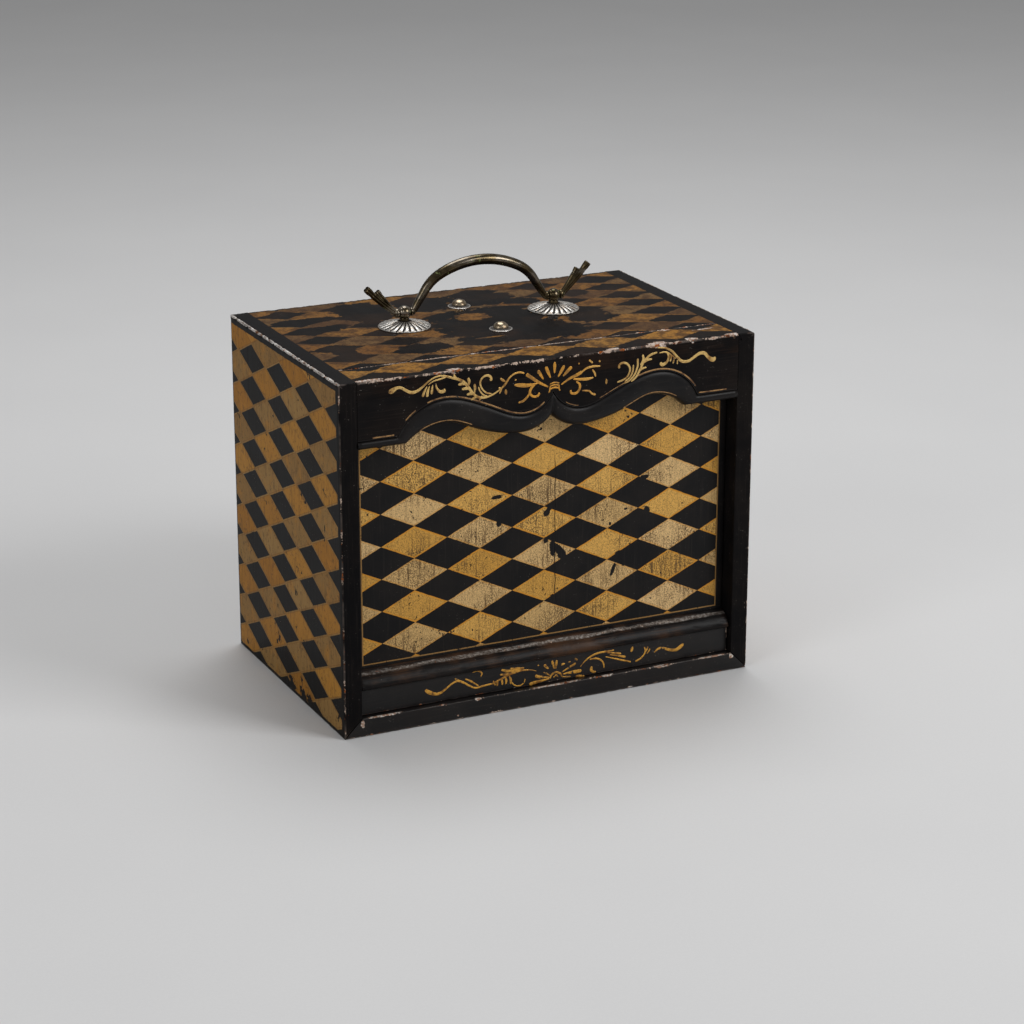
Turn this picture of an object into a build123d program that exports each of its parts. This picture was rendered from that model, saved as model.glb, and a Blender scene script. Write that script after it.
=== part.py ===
from build123d import *
import os
from math import cos, radians, sin

# A small lacquered case for papers and keepsakes. Softwood boards, a lift-out front panel held behind a
# shaped apron, and a bronze bail handle on the top. Millimetres, +Z up, the front faces -Y, and the
# origin is at the bottom centre.

# Case, outside sizes and boards
WIDTH = 303.0
DEPTH = 197.0
HEIGHT = 242.4
BOARD = 12.7  # sides, top and bottom
ARRIS = 0.8  # rounding of the lacquered outer edges
BACK_BOARD = 9.0
BACK_REBATE = 6.0  # how far the back is let into each board
BACK_FIT = 0.1  # glue gap round the back

# Front: the top rail, the apron under it and its bead
RAIL_DEPTH = 32.0  # strip of the top in front of the cross seam
APRON_BOARD = 12.4
BEAD_PROUD = 1.2  # the bead's height above the apron's face
BEAD_ROUND = 0.8
APRON_FLAT = 45.0  # flat lower edge, below the top of the case
BEAD_FLAT = 39.0  # upper edge of the bead over the flat

# Lift-out panel
PANEL_SET_BACK = 13.0  # panel face behind the front of the case
PANEL_BOARD = 9.0
PANEL_HEAD_ROOM = 3.7  # over the lifted panel, under the top
PANEL_SIDE_GAP = 0.8
PANEL_REST_GAP = 0.3  # under the foot rail and under the panel's foot
PANEL_GROOVE_GAP = 0.4  # before and behind the foot in its groove
GROOVE_DEPTH = 6.0
PANEL_LIFT = 14.0  # travel that frees the foot from its groove
FOOT_RAIL_HEIGHT = 18.0  # above the bottom board
FOOT_RAIL_SET_BACK = 4.6
MOULDING_HEIGHT = 12.0
MOULDING_NOSE = 2.0  # nose of the moulding behind the front of the case
BATTEN = 7.5
BATTEN_HEIGHT = 24.0
BATTEN_CLEAR = 2.0  # between a batten's end and the stop strip
STOP_STRIP = 8.0
STOP_GAP = 0.6  # between the panel and the strips behind it
GUIDE_HEIGHT = 12.0

# Pegs: eight-sided bamboo pins, each radius measured to the flats
PEG_SIDES = 8
PEG_RADIUS = 1.5
PEG_LENGTH = 22.0
PEG_FIT = 0.05  # radial, pegs and nails in their holes
PEG_COVER = 1.0  # lacquer and filler over a peg's outer end
BATTEN_PEG_RADIUS = 1.25
BATTEN_PEG_LENGTH = 13.0

# Handle and its fittings
PIVOT_SPREAD = 112.6
PIVOT_ABOVE_TOP = 10.0
GRIP_RISE = 31.0  # centre of the grip above the pivot axis
GRIP_RADIUS = 3.7
FOOT_RADIUS = 2.2  # rod beside the eye
NECK_RADIUS = 1.75  # rod inside the eye
EYE_RUNNING_GAP = 0.07  # radial, neck in eye
EYE_BALL_RADIUS = 4.75
EYE_WIDTH = 8.0
EYE_SIDE_GAP = 0.3
COLLAR = 1.4
COLLAR_RADIUS = 3.0
COLLAR_TO_FOOT = 0.8
KNUCKLE = 0.15  # how far the rounded knuckles stand out from the rod
LONG_TIP_RADIUS = 2.1
SHORT_TIP_RADIUS = 1.8
TIP_CHAMFER = 0.5
TIP_NOTCH = 0.9  # width of the notch across each tip
TIP_NOTCH_DEPTH = 1.8
CROWN_ANGLE = 27.0  # half angle of the grip's long arc
LEG_ANGLE = 57.0  # slope of the straight legs
SHOULDER_RADIUS = 30.0
TERMINAL_ANGLE = 42.0
LONG_PRONG = 29.2
SHORT_PRONG = 21.5
SHORT_PRONG_TURN = 12.6  # degrees the short prong stands above the long one

# Post, rosette and rove
SHANK_RADIUS = 1.9
SHANK_GAP = 0.1
SPLIT = 0.3
LEG_LENGTH = 9.0
LEG_THICK = 1.4
ROSETTE_RADIUS = 18.0
ROSETTE_HEIGHT = 4.2
ROSETTE_RIM = 0.8
ROSETTE_FLUTES = 24
FLUTE_RADIUS = 0.95
ROVE_RADIUS = 6.0
ROVE = 1.0

# Strike studs
STUD_FROM_AXIS = 34.0
STUD_RADIUS = 4.6
STUD_ABOVE_TOP = 5.8
STUD_NAIL_RADIUS = 1.2
STUD_NAIL = 9.0
STUD_NAIL_TIP = 0.3
STUD_WASHER_RADIUS = 8.0
STUD_WASHER_HEIGHT = 1.8
STUD_WASHER_RIM = 0.7

# Places that follow from the sizes above
FRONT = -(DEPTH - BEAD_PROUD) / 2  # the bead stands proud of the front
BACK = FRONT + DEPTH
INNER = WIDTH / 2 - BOARD  # half the clear width between the sides
UNDER_TOP = HEIGHT - BOARD
SEAM = FRONT + RAIL_DEPTH
AXIS_Y = (SEAM + BACK) / 2  # the handle stands on the middle of the top board
AXIS_Z = HEIGHT + PIVOT_ABOVE_TOP
PIVOT_X = PIVOT_SPREAD / 2
PANEL_FACE = FRONT + PANEL_SET_BACK
PANEL_REAR = PANEL_FACE + PANEL_BOARD
PANEL_HALF = INNER - PANEL_SIDE_GAP
PANEL_TOP = UNDER_TOP - PANEL_LIFT - PANEL_HEAD_ROOM  # hidden behind the apron
STOP_FACE = PANEL_REAR + STOP_GAP
PANEL_FOOT = BOARD - GROOVE_DEPTH + PANEL_REST_GAP
RAIL_FOOT = BOARD + PANEL_REST_GAP
FOOT_RAIL_TOP = BOARD + FOOT_RAIL_HEIGHT
MOULDING_TOP = FOOT_RAIL_TOP + MOULDING_HEIGHT

os.makedirs("parts", exist_ok=True)


def write(piece, label):
    """Name a finished piece and write it to its own file."""
    piece.label = label
    export_step(piece, f"parts/{label}.step")


def upright_at(x, y, z):
    """An upright plane that looks to the front: its first axis runs along +X and its second along +Z."""
    return Plane(origin=(x, y, z), x_dir=(1, 0, 0), z_dir=(0, -1, 0))


def box_between(low, high, mode=Mode.ADD):
    """A box from its lowest to its highest corner, added to the piece that is being built."""
    middle = tuple((a + b) / 2 for a, b in zip(low, high))
    with Locations(middle):
        Box(*(b - a for a, b in zip(low, high)), mode=mode)


def cut_back_rebate():
    """The rebate that runs round the back of the case, cut from the board that is being built."""
    reach = INNER + BACK_REBATE
    box_between(
        (-reach, BACK - BACK_BOARD, BOARD - BACK_REBATE),
        (reach, BACK, UNDER_TOP + BACK_REBATE),
        Mode.SUBTRACT,
    )


# Case pegs: level pegs through each side board into the end of the board that meets it
peg_start = WIDTH / 2 - PEG_COVER
peg_rows = [
    (FRONT + RAIL_DEPTH / 2, UNDER_TOP + BOARD / 2),
    (SEAM + 0.15 * (BACK - SEAM), UNDER_TOP + BOARD / 2),
    (SEAM + 0.5 * (BACK - SEAM), UNDER_TOP + BOARD / 2),
    (SEAM + 0.82 * (BACK - SEAM), UNDER_TOP + BOARD / 2),
    (FRONT + APRON_BOARD / 2, UNDER_TOP - 0.45 * (APRON_FLAT - BOARD)),
    (FRONT + 0.2 * DEPTH, BOARD * 0.45),
    (FRONT + 0.5 * DEPTH, BOARD * 0.45),
    (FRONT + 0.8 * DEPTH, BOARD * 0.45),
]


def peg_places(sides=(-1, 1)):
    """Planes at the outer ends of the case pegs, each with its Z along the peg, towards the inside."""
    return [
        Plane(origin=(side * peg_start, y, z), z_dir=(-side, 0, 0)) for side in sides for y, z in peg_rows
    ]


def pegs(places, radius, length, mode=Mode.ADD):
    """Pegs from each of these planes, or the holes for them, in the piece that is being built."""
    with BuildSketch(*places) as ends:
        RegularPolygon(radius, PEG_SIDES, major_radius=False)
    extrude(ends.sketch, amount=length, mode=mode)


def bore_for_pegs(sides=(-1, 1)):
    """Holes for the case pegs, cut from the board that is being built."""
    pegs(peg_places(sides), PEG_RADIUS, PEG_LENGTH, Mode.SUBTRACT)


with BuildPart() as case_pegs:
    pegs(peg_places(), PEG_RADIUS - PEG_FIT, PEG_LENGTH)
write(case_pegs.part, "case_pegs")

# Side boards: full height, square at the top and mitred at the foot
for label, side in (("left_side", -1), ("right_side", 1)):
    with BuildPart() as side_board:
        with BuildSketch(Plane.XZ.offset(-FRONT)):
            with BuildLine():
                Polyline(
                    (side * WIDTH / 2, 0),
                    (side * WIDTH / 2, HEIGHT),
                    (side * INNER, HEIGHT),
                    (side * INNER, BOARD),
                    close=True,
                )
            make_face()
        extrude(amount=-DEPTH)
        outer_face = side_board.faces().sort_by(Axis.X)[-1 if side > 0 else 0]
        fillet(outer_face.edges().sort_by(Axis.Z)[1:], ARRIS)
        cut_back_rebate()
        bore_for_pegs((side,))
    write(side_board.part, label)

# Bottom board: mitred into the sides, grooved for the foot of the panel behind a front lip
with BuildPart() as bottom_board:
    with BuildSketch(Plane.XZ.offset(-FRONT)):
        with BuildLine():
            Polyline((-WIDTH / 2, 0), (WIDTH / 2, 0), (INNER, BOARD), (-INNER, BOARD), close=True)
        make_face()
    extrude(amount=-DEPTH)
    box_between(
        (-INNER, PANEL_FACE - PANEL_GROOVE_GAP, BOARD - GROOVE_DEPTH),
        (INNER, PANEL_REAR + PANEL_GROOVE_GAP, BOARD),
        Mode.SUBTRACT,
    )
    cut_back_rebate()
    bore_for_pegs()
write(bottom_board.part, "bottom_board")

# Top board: from the cross seam to the back, with holes for the posts and the stud nails
with BuildPart() as top_board:
    box_between((-INNER, SEAM, UNDER_TOP), (INNER, BACK, HEIGHT))
    cut_back_rebate()
    bore_for_pegs()
    with Locations((-PIVOT_X, AXIS_Y, HEIGHT), (PIVOT_X, AXIS_Y, HEIGHT)):
        Hole(SHANK_RADIUS + SHANK_GAP)
    with Locations((0, AXIS_Y - STUD_FROM_AXIS, HEIGHT), (0, AXIS_Y + STUD_FROM_AXIS, HEIGHT)):
        Hole(STUD_NAIL_RADIUS + PEG_FIT, depth=STUD_NAIL)
write(top_board.part, "top_board")

# Front top rail: the strip in front of the seam, square between the two sides
with BuildPart() as front_top_rail:
    box_between((-INNER, FRONT, UNDER_TOP), (INNER, SEAM, HEIGHT))
    bore_for_pegs()
write(front_top_rail.part, "front_top_rail")

# Back board: let into the rebate and flush with the back of the case
with BuildPart() as back_board:
    back_reach = INNER + BACK_REBATE - BACK_FIT
    box_between(
        (-back_reach, BACK - BACK_BOARD, BOARD - BACK_REBATE + BACK_FIT),
        (back_reach, BACK, UNDER_TOP + BACK_REBATE - BACK_FIT),
    )
write(back_board.part, "back_board")


# Apron: a board under the top rail with a cusped ogee lower edge. Places are (across, height).
def below_top(points):
    """Turn (across, depth below the top) into (across, height)."""
    return [(across, HEIGHT - down) for across, down in points]


# cusp, lobe, turn of the ogee, crown of the arch and corner of each outline
APRON_EDGE = below_top([(0, 39.5), (22, 49), (50, 43.6), (77, 34.4), (102, APRON_FLAT)])
BEAD_EDGE = below_top([(0, 23), (21, 36.5), (47, 27.6), (77, 18.8), (108, BEAD_FLAT)])


def ogee(outline):
    """Half of an outline in the sketch being built: an arc, a soft S and an arc, from cusp to corner."""
    cusp, lobe, turn, crown_top, corner = outline
    TangentArc(lobe, cusp, tangent=(-1, 0))
    Spline(lobe, turn, crown_top, tangents=[(1, 0), (1, 0)])
    TangentArc(crown_top, corner, tangent=(1, 0))


with BuildPart() as apron_board:
    with BuildSketch(Plane.XZ.offset(-FRONT)):
        with BuildLine():
            ogee(APRON_EDGE)
            Polyline(APRON_EDGE[-1], (INNER, HEIGHT - APRON_FLAT), (INNER, UNDER_TOP), (0, UNDER_TOP))
            mirror(about=Plane.YZ)
        make_face()
    extrude(amount=-APRON_BOARD)
    bore_for_pegs()
write(apron_board.part, "apron_board")

# Bead: a rounded moulding laid on the apron along that edge, broad at the cusp and arches
with BuildPart() as apron_moulding:
    with BuildSketch(Plane.XZ.offset(-FRONT)):
        with BuildLine():
            ogee(APRON_EDGE)
            Polyline(
                APRON_EDGE[-1],
                (INNER, HEIGHT - APRON_FLAT),
                (INNER, HEIGHT - BEAD_FLAT),
                BEAD_EDGE[-1],
            )
            ogee(BEAD_EDGE)
            mirror(about=Plane.YZ)
        make_face()
    extrude(amount=BEAD_PROUD)
    fillet(apron_moulding.faces().sort_by(Axis.Y)[0].edges(), BEAD_ROUND)
write(apron_moulding.part, "apron_moulding")

# Stop strips and the guide under the top: the panel stands against them from the front
for label, side in (("stop_strip_left", -1), ("stop_strip_right", 1)):
    with BuildPart() as stop_strip:
        reach = sorted((side * INNER, side * (INNER - STOP_STRIP)))
        box_between((reach[0], STOP_FACE, BOARD), (reach[1], STOP_FACE + STOP_STRIP, UNDER_TOP))
    write(stop_strip.part, label)

with BuildPart() as top_guide:
    guide_half = INNER - STOP_STRIP
    box_between(
        (-guide_half, STOP_FACE, UNDER_TOP - GUIDE_HEIGHT),
        (guide_half, STOP_FACE + STOP_STRIP, UNDER_TOP),
    )
write(top_guide.part, "top_guide")

# Panel board: its foot stands in the groove of the bottom board, its head behind the apron
batten_half = INNER - STOP_STRIP - BATTEN_CLEAR
batten_levels = [BOARD + 0.2 * (PANEL_TOP - BOARD), BOARD + 0.82 * (PANEL_TOP - BOARD)]
batten_peg_places = [
    Plane(origin=(across * batten_half, PANEL_REAR + BATTEN, level), z_dir=(0, -1, 0))
    for level in batten_levels
    for across in (-0.85, -0.3, 0.3, 0.85)
]


def bore_for_batten_pegs():
    """Holes for the pegs that go from the battens into the panel."""
    pegs(batten_peg_places, BATTEN_PEG_RADIUS, BATTEN_PEG_LENGTH, Mode.SUBTRACT)


with BuildPart() as panel_board:
    box_between((-PANEL_HALF, PANEL_FACE, PANEL_FOOT), (PANEL_HALF, PANEL_REAR, PANEL_TOP))
    bore_for_batten_pegs()
write(panel_board.part, "panel_board")

for label, level in zip(("panel_batten_lower", "panel_batten_upper"), batten_levels):
    with BuildPart() as batten:
        box_between(
            (-batten_half, PANEL_REAR, level - BATTEN_HEIGHT / 2),
            (batten_half, PANEL_REAR + BATTEN, level + BATTEN_HEIGHT / 2),
        )
        chamfer(batten.faces().sort_by(Axis.Y)[-1].edges(), ARRIS)
        bore_for_batten_pegs()
    write(batten.part, label)

with BuildPart() as batten_pegs:
    pegs(batten_peg_places, BATTEN_PEG_RADIUS - PEG_FIT, BATTEN_PEG_LENGTH)
write(batten_pegs.part, "batten_pegs")

# Foot rail: a thick rail on the panel's face that stands over the lip of the bottom board
with BuildPart() as foot_rail:
    box_between(
        (-PANEL_HALF, FRONT + FOOT_RAIL_SET_BACK, RAIL_FOOT),
        (PANEL_HALF, PANEL_FACE, FOOT_RAIL_TOP),
    )
    fillet(foot_rail.edges().filter_by(Axis.X).group_by(Axis.Y)[0].sort_by(Axis.Z)[0], ARRIS)
write(foot_rail.part, "foot_rail")

# Panel moulding: a small and a large swelling over an overhanging nose, the grip for the fingers
with BuildPart() as panel_moulding:
    with BuildSketch(Plane.YZ.offset(-PANEL_HALF)):
        with BuildLine():
            waist = (FRONT + 8.4, MOULDING_TOP - 3.6)
            nose = (FRONT + MOULDING_NOSE, FOOT_RAIL_TOP + 2.4)
            lip = (FRONT + MOULDING_NOSE + 1.3, FOOT_RAIL_TOP)
            ThreePointArc((PANEL_FACE, MOULDING_TOP), (FRONT + 9.6, MOULDING_TOP - 1.0), waist)
            ThreePointArc(waist, (FRONT + 4.0, MOULDING_TOP - 5.4), nose)
            ThreePointArc(nose, (FRONT + MOULDING_NOSE + 0.2, FOOT_RAIL_TOP + 0.9), lip)
            Polyline(lip, (PANEL_FACE, FOOT_RAIL_TOP), (PANEL_FACE, MOULDING_TOP))
        make_face()
    extrude(amount=2 * PANEL_HALF)
write(panel_moulding.part, "panel_moulding")

# Rosettes: domed chrysanthemum washers with radial flutes
for label, across in (("rosette_left", -PIVOT_X), ("rosette_right", PIVOT_X)):
    with BuildPart() as rosette:
        with BuildSketch(upright_at(across, AXIS_Y, HEIGHT)):
            with BuildLine():
                dome = TangentArc((0, ROSETTE_HEIGHT), (ROSETTE_RADIUS, ROSETTE_RIM), tangent=(1, 0))
                Polyline(dome @ 1, (ROSETTE_RADIUS, 0), (0, 0), dome @ 0)
            make_face()
        revolve(axis=Axis((across, AXIS_Y, 0), (0, 0, 1)))
        with Locations((across, AXIS_Y, HEIGHT + ROSETTE_HEIGHT)):
            Hole(SHANK_RADIUS + SHANK_GAP)
        rim_drop = ROSETTE_HEIGHT - ROSETTE_RIM
        with Locations((across, AXIS_Y, HEIGHT)):
            with PolarLocations(0, ROSETTE_FLUTES):
                with Locations(
                    Location(
                        Plane(
                            origin=(0.28 * ROSETTE_RADIUS, 0, ROSETTE_HEIGHT + 0.55),
                            z_dir=(0.82 * ROSETTE_RADIUS, 0, -rim_drop),
                        )
                    )
                ):
                    Cylinder(
                        FLUTE_RADIUS,
                        ROSETTE_RADIUS,
                        align=(Align.CENTER, Align.CENTER, Align.MIN),
                        mode=Mode.SUBTRACT,
                    )
    write(rosette.part, label)

# Posts: split pins with a bored ball head, their legs clinched under a rove inside the case
for label, across in (("handle_post_left", -PIVOT_X), ("handle_post_right", PIVOT_X)):
    clinch_top = UNDER_TOP - ROVE
    clinch_foot = clinch_top - LEG_THICK
    with BuildPart() as handle_post:
        with Locations((across, AXIS_Y, AXIS_Z)):
            Sphere(EYE_BALL_RADIUS)
        with Locations((across, AXIS_Y, clinch_foot)):
            Cylinder(
                SHANK_RADIUS,
                AXIS_Z - clinch_foot,
                align=(Align.CENTER, Align.CENTER, Align.MIN),
            )
        box_between(
            (across - SHANK_RADIUS, AXIS_Y - LEG_LENGTH, clinch_foot),
            (across + SHANK_RADIUS, AXIS_Y + LEG_LENGTH, clinch_top),
        )
        with Locations((across, AXIS_Y, AXIS_Z)):
            for side in (-1, 1):
                with Locations((side * (EYE_WIDTH / 2 + EYE_BALL_RADIUS / 2), 0, 0)):
                    Box(EYE_BALL_RADIUS, 2 * EYE_BALL_RADIUS, 2 * EYE_BALL_RADIUS, mode=Mode.SUBTRACT)
            Cylinder(
                NECK_RADIUS + EYE_RUNNING_GAP,
                2 * EYE_BALL_RADIUS,
                rotation=(0, 90, 0),
                mode=Mode.SUBTRACT,
            )
        box_between(
            (across - 2 * SHANK_RADIUS, AXIS_Y - SPLIT / 2, clinch_foot - 1),
            (across + 2 * SHANK_RADIUS, AXIS_Y + SPLIT / 2, HEIGHT),
            Mode.SUBTRACT,
        )
    write(handle_post.part, label)

for label, across in (("rove_left", -PIVOT_X), ("rove_right", PIVOT_X)):
    with BuildPart() as rove:
        with BuildSketch(Plane.XY.offset(UNDER_TOP - ROVE)):
            with Locations((across, AXIS_Y)):
                Circle(ROVE_RADIUS)
                Circle(SHANK_RADIUS + SHANK_GAP, mode=Mode.SUBTRACT)
        extrude(amount=ROVE)
    write(rove.part, label)

# Strike studs: domed nails on dished washers, where the folded grip comes down
for place, from_axis in (("front", -STUD_FROM_AXIS), ("back", STUD_FROM_AXIS)):
    stud_y = AXIS_Y + from_axis
    with BuildPart() as stud:
        with BuildSketch(upright_at(0, stud_y, HEIGHT)):
            with BuildLine():
                head = TangentArc((0, STUD_ABOVE_TOP), (STUD_RADIUS, STUD_WASHER_HEIGHT), tangent=(1, 0))
                Polyline(
                    head @ 1,
                    (STUD_NAIL_RADIUS, STUD_WASHER_HEIGHT),
                    (STUD_NAIL_RADIUS, 0.25 * STUD_NAIL - STUD_NAIL),
                    (STUD_NAIL_TIP, -STUD_NAIL),
                    (0, -STUD_NAIL),
                    head @ 0,
                )
            make_face()
        revolve(axis=Axis((0, stud_y, 0), (0, 0, 1)))
    write(stud.part, f"stud_{place}")

    with BuildPart() as stud_washer:
        with BuildSketch(upright_at(0, stud_y, HEIGHT)):
            with BuildLine():
                Polyline(
                    (STUD_NAIL_RADIUS + SHANK_GAP, 0),
                    (STUD_WASHER_RADIUS, 0),
                    (STUD_WASHER_RADIUS, STUD_WASHER_RIM),
                    (0.85 * STUD_WASHER_RADIUS, STUD_WASHER_RIM + 0.3),
                    (STUD_RADIUS + 0.4, STUD_WASHER_HEIGHT),
                    (STUD_NAIL_RADIUS + SHANK_GAP, STUD_WASHER_HEIGHT),
                    close=True,
                )
            make_face()
        revolve(axis=Axis((0, stud_y, 0), (0, 0, 1)))
    write(stud_washer.part, f"stud_washer_{place}")

# Bail: a rod bent to a long crown and tight shoulders, with straight tapered legs. The crown's radius and
# the length of the legs follow from the spread of the pivots and the rise of the grip.
collar_face = PIVOT_X - EYE_WIDTH / 2 - EYE_SIDE_GAP
leg_foot = collar_face - COLLAR - COLLAR_TO_FOOT
crown, slope = radians(CROWN_ANGLE), radians(LEG_ANGLE)
reach_left = leg_foot - SHOULDER_RADIUS * (sin(slope) - sin(crown))
rise_left = GRIP_RISE - SHOULDER_RADIUS * (cos(crown) - cos(slope))
solve = sin(crown) * sin(slope) - cos(slope) * (1 - cos(crown))
crown_radius = (reach_left * sin(slope) - rise_left * cos(slope)) / solve
leg_length = (rise_left * sin(crown) - reach_left * (1 - cos(crown))) / solve

inner_collar = collar_face - COLLAR
outer_collar = PIVOT_X + EYE_WIDTH / 2 + EYE_SIDE_GAP
terminal_root = outer_collar + COLLAR + COLLAR_TO_FOOT
shoulder_radius = FOOT_RADIUS - 2 * KNUCKLE
neck_profile = [
    (leg_foot - 2 * KNUCKLE, 0),
    (leg_foot - 2 * KNUCKLE, shoulder_radius),
    (inner_collar, shoulder_radius),
    (inner_collar, COLLAR_RADIUS),
    (collar_face, COLLAR_RADIUS),
    (collar_face, NECK_RADIUS),
    (outer_collar, NECK_RADIUS),
    (outer_collar, COLLAR_RADIUS),
    (outer_collar + COLLAR, COLLAR_RADIUS),
    (outer_collar + COLLAR, shoulder_radius),
    (terminal_root + 2 * KNUCKLE, shoulder_radius),
    (terminal_root + 2 * KNUCKLE, 0),
]

with BuildPart() as handle_bail:
    with BuildLine(upright_at(0, AXIS_Y, AXIS_Z)) as rod_line:
        crown_arc = CenterArc((0, GRIP_RISE - crown_radius), crown_radius, 90 - CROWN_ANGLE, 2 * CROWN_ANGLE)
        JernArc(crown_arc @ 1, crown_arc % 1, SHOULDER_RADIUS, LEG_ANGLE - CROWN_ANGLE)
        JernArc(crown_arc @ 0, -(crown_arc % 0), SHOULDER_RADIUS, CROWN_ANGLE - LEG_ANGLE)
    for bend in rod_line.edges():
        with BuildSketch(Plane(origin=bend @ 0, x_dir=(0, 1, 0), z_dir=bend % 0)):
            Circle(GRIP_RADIUS)
        sweep(path=bend)
    for shoulder in rod_line.edges().sort_by(SortBy.LENGTH)[:2]:
        with Locations(Location(Plane(origin=shoulder @ 1, z_dir=shoulder % 1))):
            Cone(GRIP_RADIUS, FOOT_RADIUS, leg_length, align=(Align.CENTER, Align.CENTER, Align.MIN))
    for side in (-1, 1):
        with Locations((side * leg_foot, AXIS_Y, AXIS_Z)):
            Sphere(FOOT_RADIUS + KNUCKLE)
        # The neck that turns in the eye, with a collar and a short shoulder on each side of it
        with BuildSketch(upright_at(0, AXIS_Y, AXIS_Z)):
            with BuildLine():
                Polyline(
                    *[(side * across, radius) for across, radius in neck_profile],
                    close=True,
                )
            make_face()
        revolve(axis=Axis((0, AXIS_Y, AXIS_Z), (1, 0, 0)))
        # Terminal: a long prong with a short one over it, cut square and notched across the end
        root = Vector(side * terminal_root, AXIS_Y, AXIS_Z)
        with Locations(root):
            Sphere(FOOT_RADIUS + KNUCKLE)
        for length, angle, tip in (
            (LONG_PRONG, radians(TERMINAL_ANGLE), LONG_TIP_RADIUS),
            (SHORT_PRONG, radians(TERMINAL_ANGLE + SHORT_PRONG_TURN), SHORT_TIP_RADIUS),
        ):
            out = Vector(side * cos(angle), 0, sin(angle))
            from_root = (Align.CENTER, Align.CENTER, Align.MIN)
            with Locations(Location(Plane(origin=root, x_dir=(0, 1, 0), z_dir=out))):
                Cone(FOOT_RADIUS, tip, length - TIP_CHAMFER, align=from_root)
                with Locations((0, 0, length - TIP_CHAMFER)):
                    Cone(tip, tip - TIP_CHAMFER, TIP_CHAMFER, align=from_root)
                with Locations((0, 0, length)):
                    Box(3 * tip, TIP_NOTCH, 2 * TIP_NOTCH_DEPTH, mode=Mode.SUBTRACT)
write(handle_bail.part, "handle_bail")

print("crown radius", round(crown_radius, 2), "leg", round(leg_length, 2))
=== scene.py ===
import bpy
import numpy as np
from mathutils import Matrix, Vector


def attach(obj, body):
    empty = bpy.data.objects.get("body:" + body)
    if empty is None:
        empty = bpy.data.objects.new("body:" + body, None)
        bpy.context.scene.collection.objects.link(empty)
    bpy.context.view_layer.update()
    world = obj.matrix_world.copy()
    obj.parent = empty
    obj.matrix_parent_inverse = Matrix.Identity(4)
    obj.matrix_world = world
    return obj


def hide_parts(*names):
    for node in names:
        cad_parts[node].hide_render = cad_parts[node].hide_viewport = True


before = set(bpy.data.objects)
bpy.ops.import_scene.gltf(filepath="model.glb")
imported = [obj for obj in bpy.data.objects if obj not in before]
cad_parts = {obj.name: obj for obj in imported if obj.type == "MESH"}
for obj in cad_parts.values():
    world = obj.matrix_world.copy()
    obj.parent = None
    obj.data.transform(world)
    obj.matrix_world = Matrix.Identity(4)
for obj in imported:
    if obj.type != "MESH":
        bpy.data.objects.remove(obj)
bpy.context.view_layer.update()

# View: the case stands a little turned, its left side and top both seen, from nearly two metres with
# a long lens. The place and the line of sight come from the seven corners of the case in the picture.
lens = bpy.data.cameras.new("view")
lens.lens, lens.sensor_width = 99.9, 36.0
view = bpy.data.objects.new("view", lens)
view.location = (-0.79534, -1.70008, 0.73456)
view.rotation_mode = "QUATERNION"
view.rotation_quaternion = Vector((0.408729, 0.855756, -0.31721)).to_track_quat("-Z", "Y")
bpy.context.scene.collection.objects.link(view)
bpy.context.scene.camera = view
bpy.context.scene.view_settings.view_transform = "Standard"


# Finishes are written as sums on wires; every sum adds the shader nodes it stands for.
class Wire:
    """A number, colour or direction on its way through a finish; sums on it add the nodes for them."""

    def __init__(self, tree, socket):
        self.tree, self.socket = tree, socket

    def node(self, kind, feeds, out=0, **settings):
        """One more node: its settings first, then a value or a wire for each of its sockets."""
        made = self.tree.nodes.new(kind)
        for word, value in settings.items():
            setattr(made, word, value)
        for place, value in feeds.items():
            if isinstance(value, Wire):
                self.tree.links.new(value.socket, made.inputs[place])
            else:
                made.inputs[place].default_value = value
        return Wire(self.tree, made.outputs[out] if len(made.outputs) else None)

    def maths(self, how, *others):
        """This value and the others through one Math node."""
        return self.node("ShaderNodeMath", dict(enumerate((self, *others))), operation=how)

    def most(self, other):
        """The larger of two values."""
        return self.maths("MAXIMUM", other)

    def least(self, other):
        """The smaller of two values."""
        return self.maths("MINIMUM", other)

    def __abs__(self):
        return self.maths("ABSOLUTE")

    def both(self, how, first, second):
        """Two values, or two directions where either is one."""
        ways = [w for w in (first, second) if isinstance(w, Wire) and w.socket.type == "VECTOR"]
        if not ways:
            return self.node("ShaderNodeMath", {0: first, 1: second}, operation=how)
        spread = [w if isinstance(w, (Wire, tuple)) else (w, w, w) for w in (first, second)]
        return self.node("ShaderNodeVectorMath", {0: spread[0], 1: spread[1]}, operation=how)

    def __add__(self, other):
        return self.both("ADD", self, other)

    def __radd__(self, other):
        return self.both("ADD", other, self)

    def __sub__(self, other):
        return self.both("SUBTRACT", self, other)

    def __rsub__(self, other):
        return self.both("SUBTRACT", other, self)

    def __mul__(self, other):
        return self.both("MULTIPLY", self, other)

    def __rmul__(self, other):
        return self.both("MULTIPLY", other, self)

    def __truediv__(self, other):
        return self.both("DIVIDE", self, other)

    def parts(self):
        """The three numbers of a direction."""
        split = self.node("ShaderNodeSeparateXYZ", {0: self})
        return [Wire(self.tree, socket) for socket in split.socket.node.outputs]

    def ease(self, low, high):
        """0 below low, 1 above high and a smooth step between them."""
        return self.node(
            "ShaderNodeMapRange", {0: self, 1: low, 2: high, 3: 0.0, 4: 1.0}, interpolation_type="SMOOTHSTEP"
        )

    def cloud(self, size, detail=3.0, rough=0.55):
        """Cloudy noise from 0 to 1 whose lumps are about size across."""
        return self.node(
            "ShaderNodeTexNoise",
            {"Vector": self, "Scale": 1.0 / size, "Detail": detail, "Roughness": rough},
        )

    def mix(self, bare, laid):
        """The colour bare where this mask is 0 and laid where it is 1."""
        return self.node("ShaderNodeMix", {0: self, 6: bare, 7: laid}, out=2, data_type="RGBA")


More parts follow.
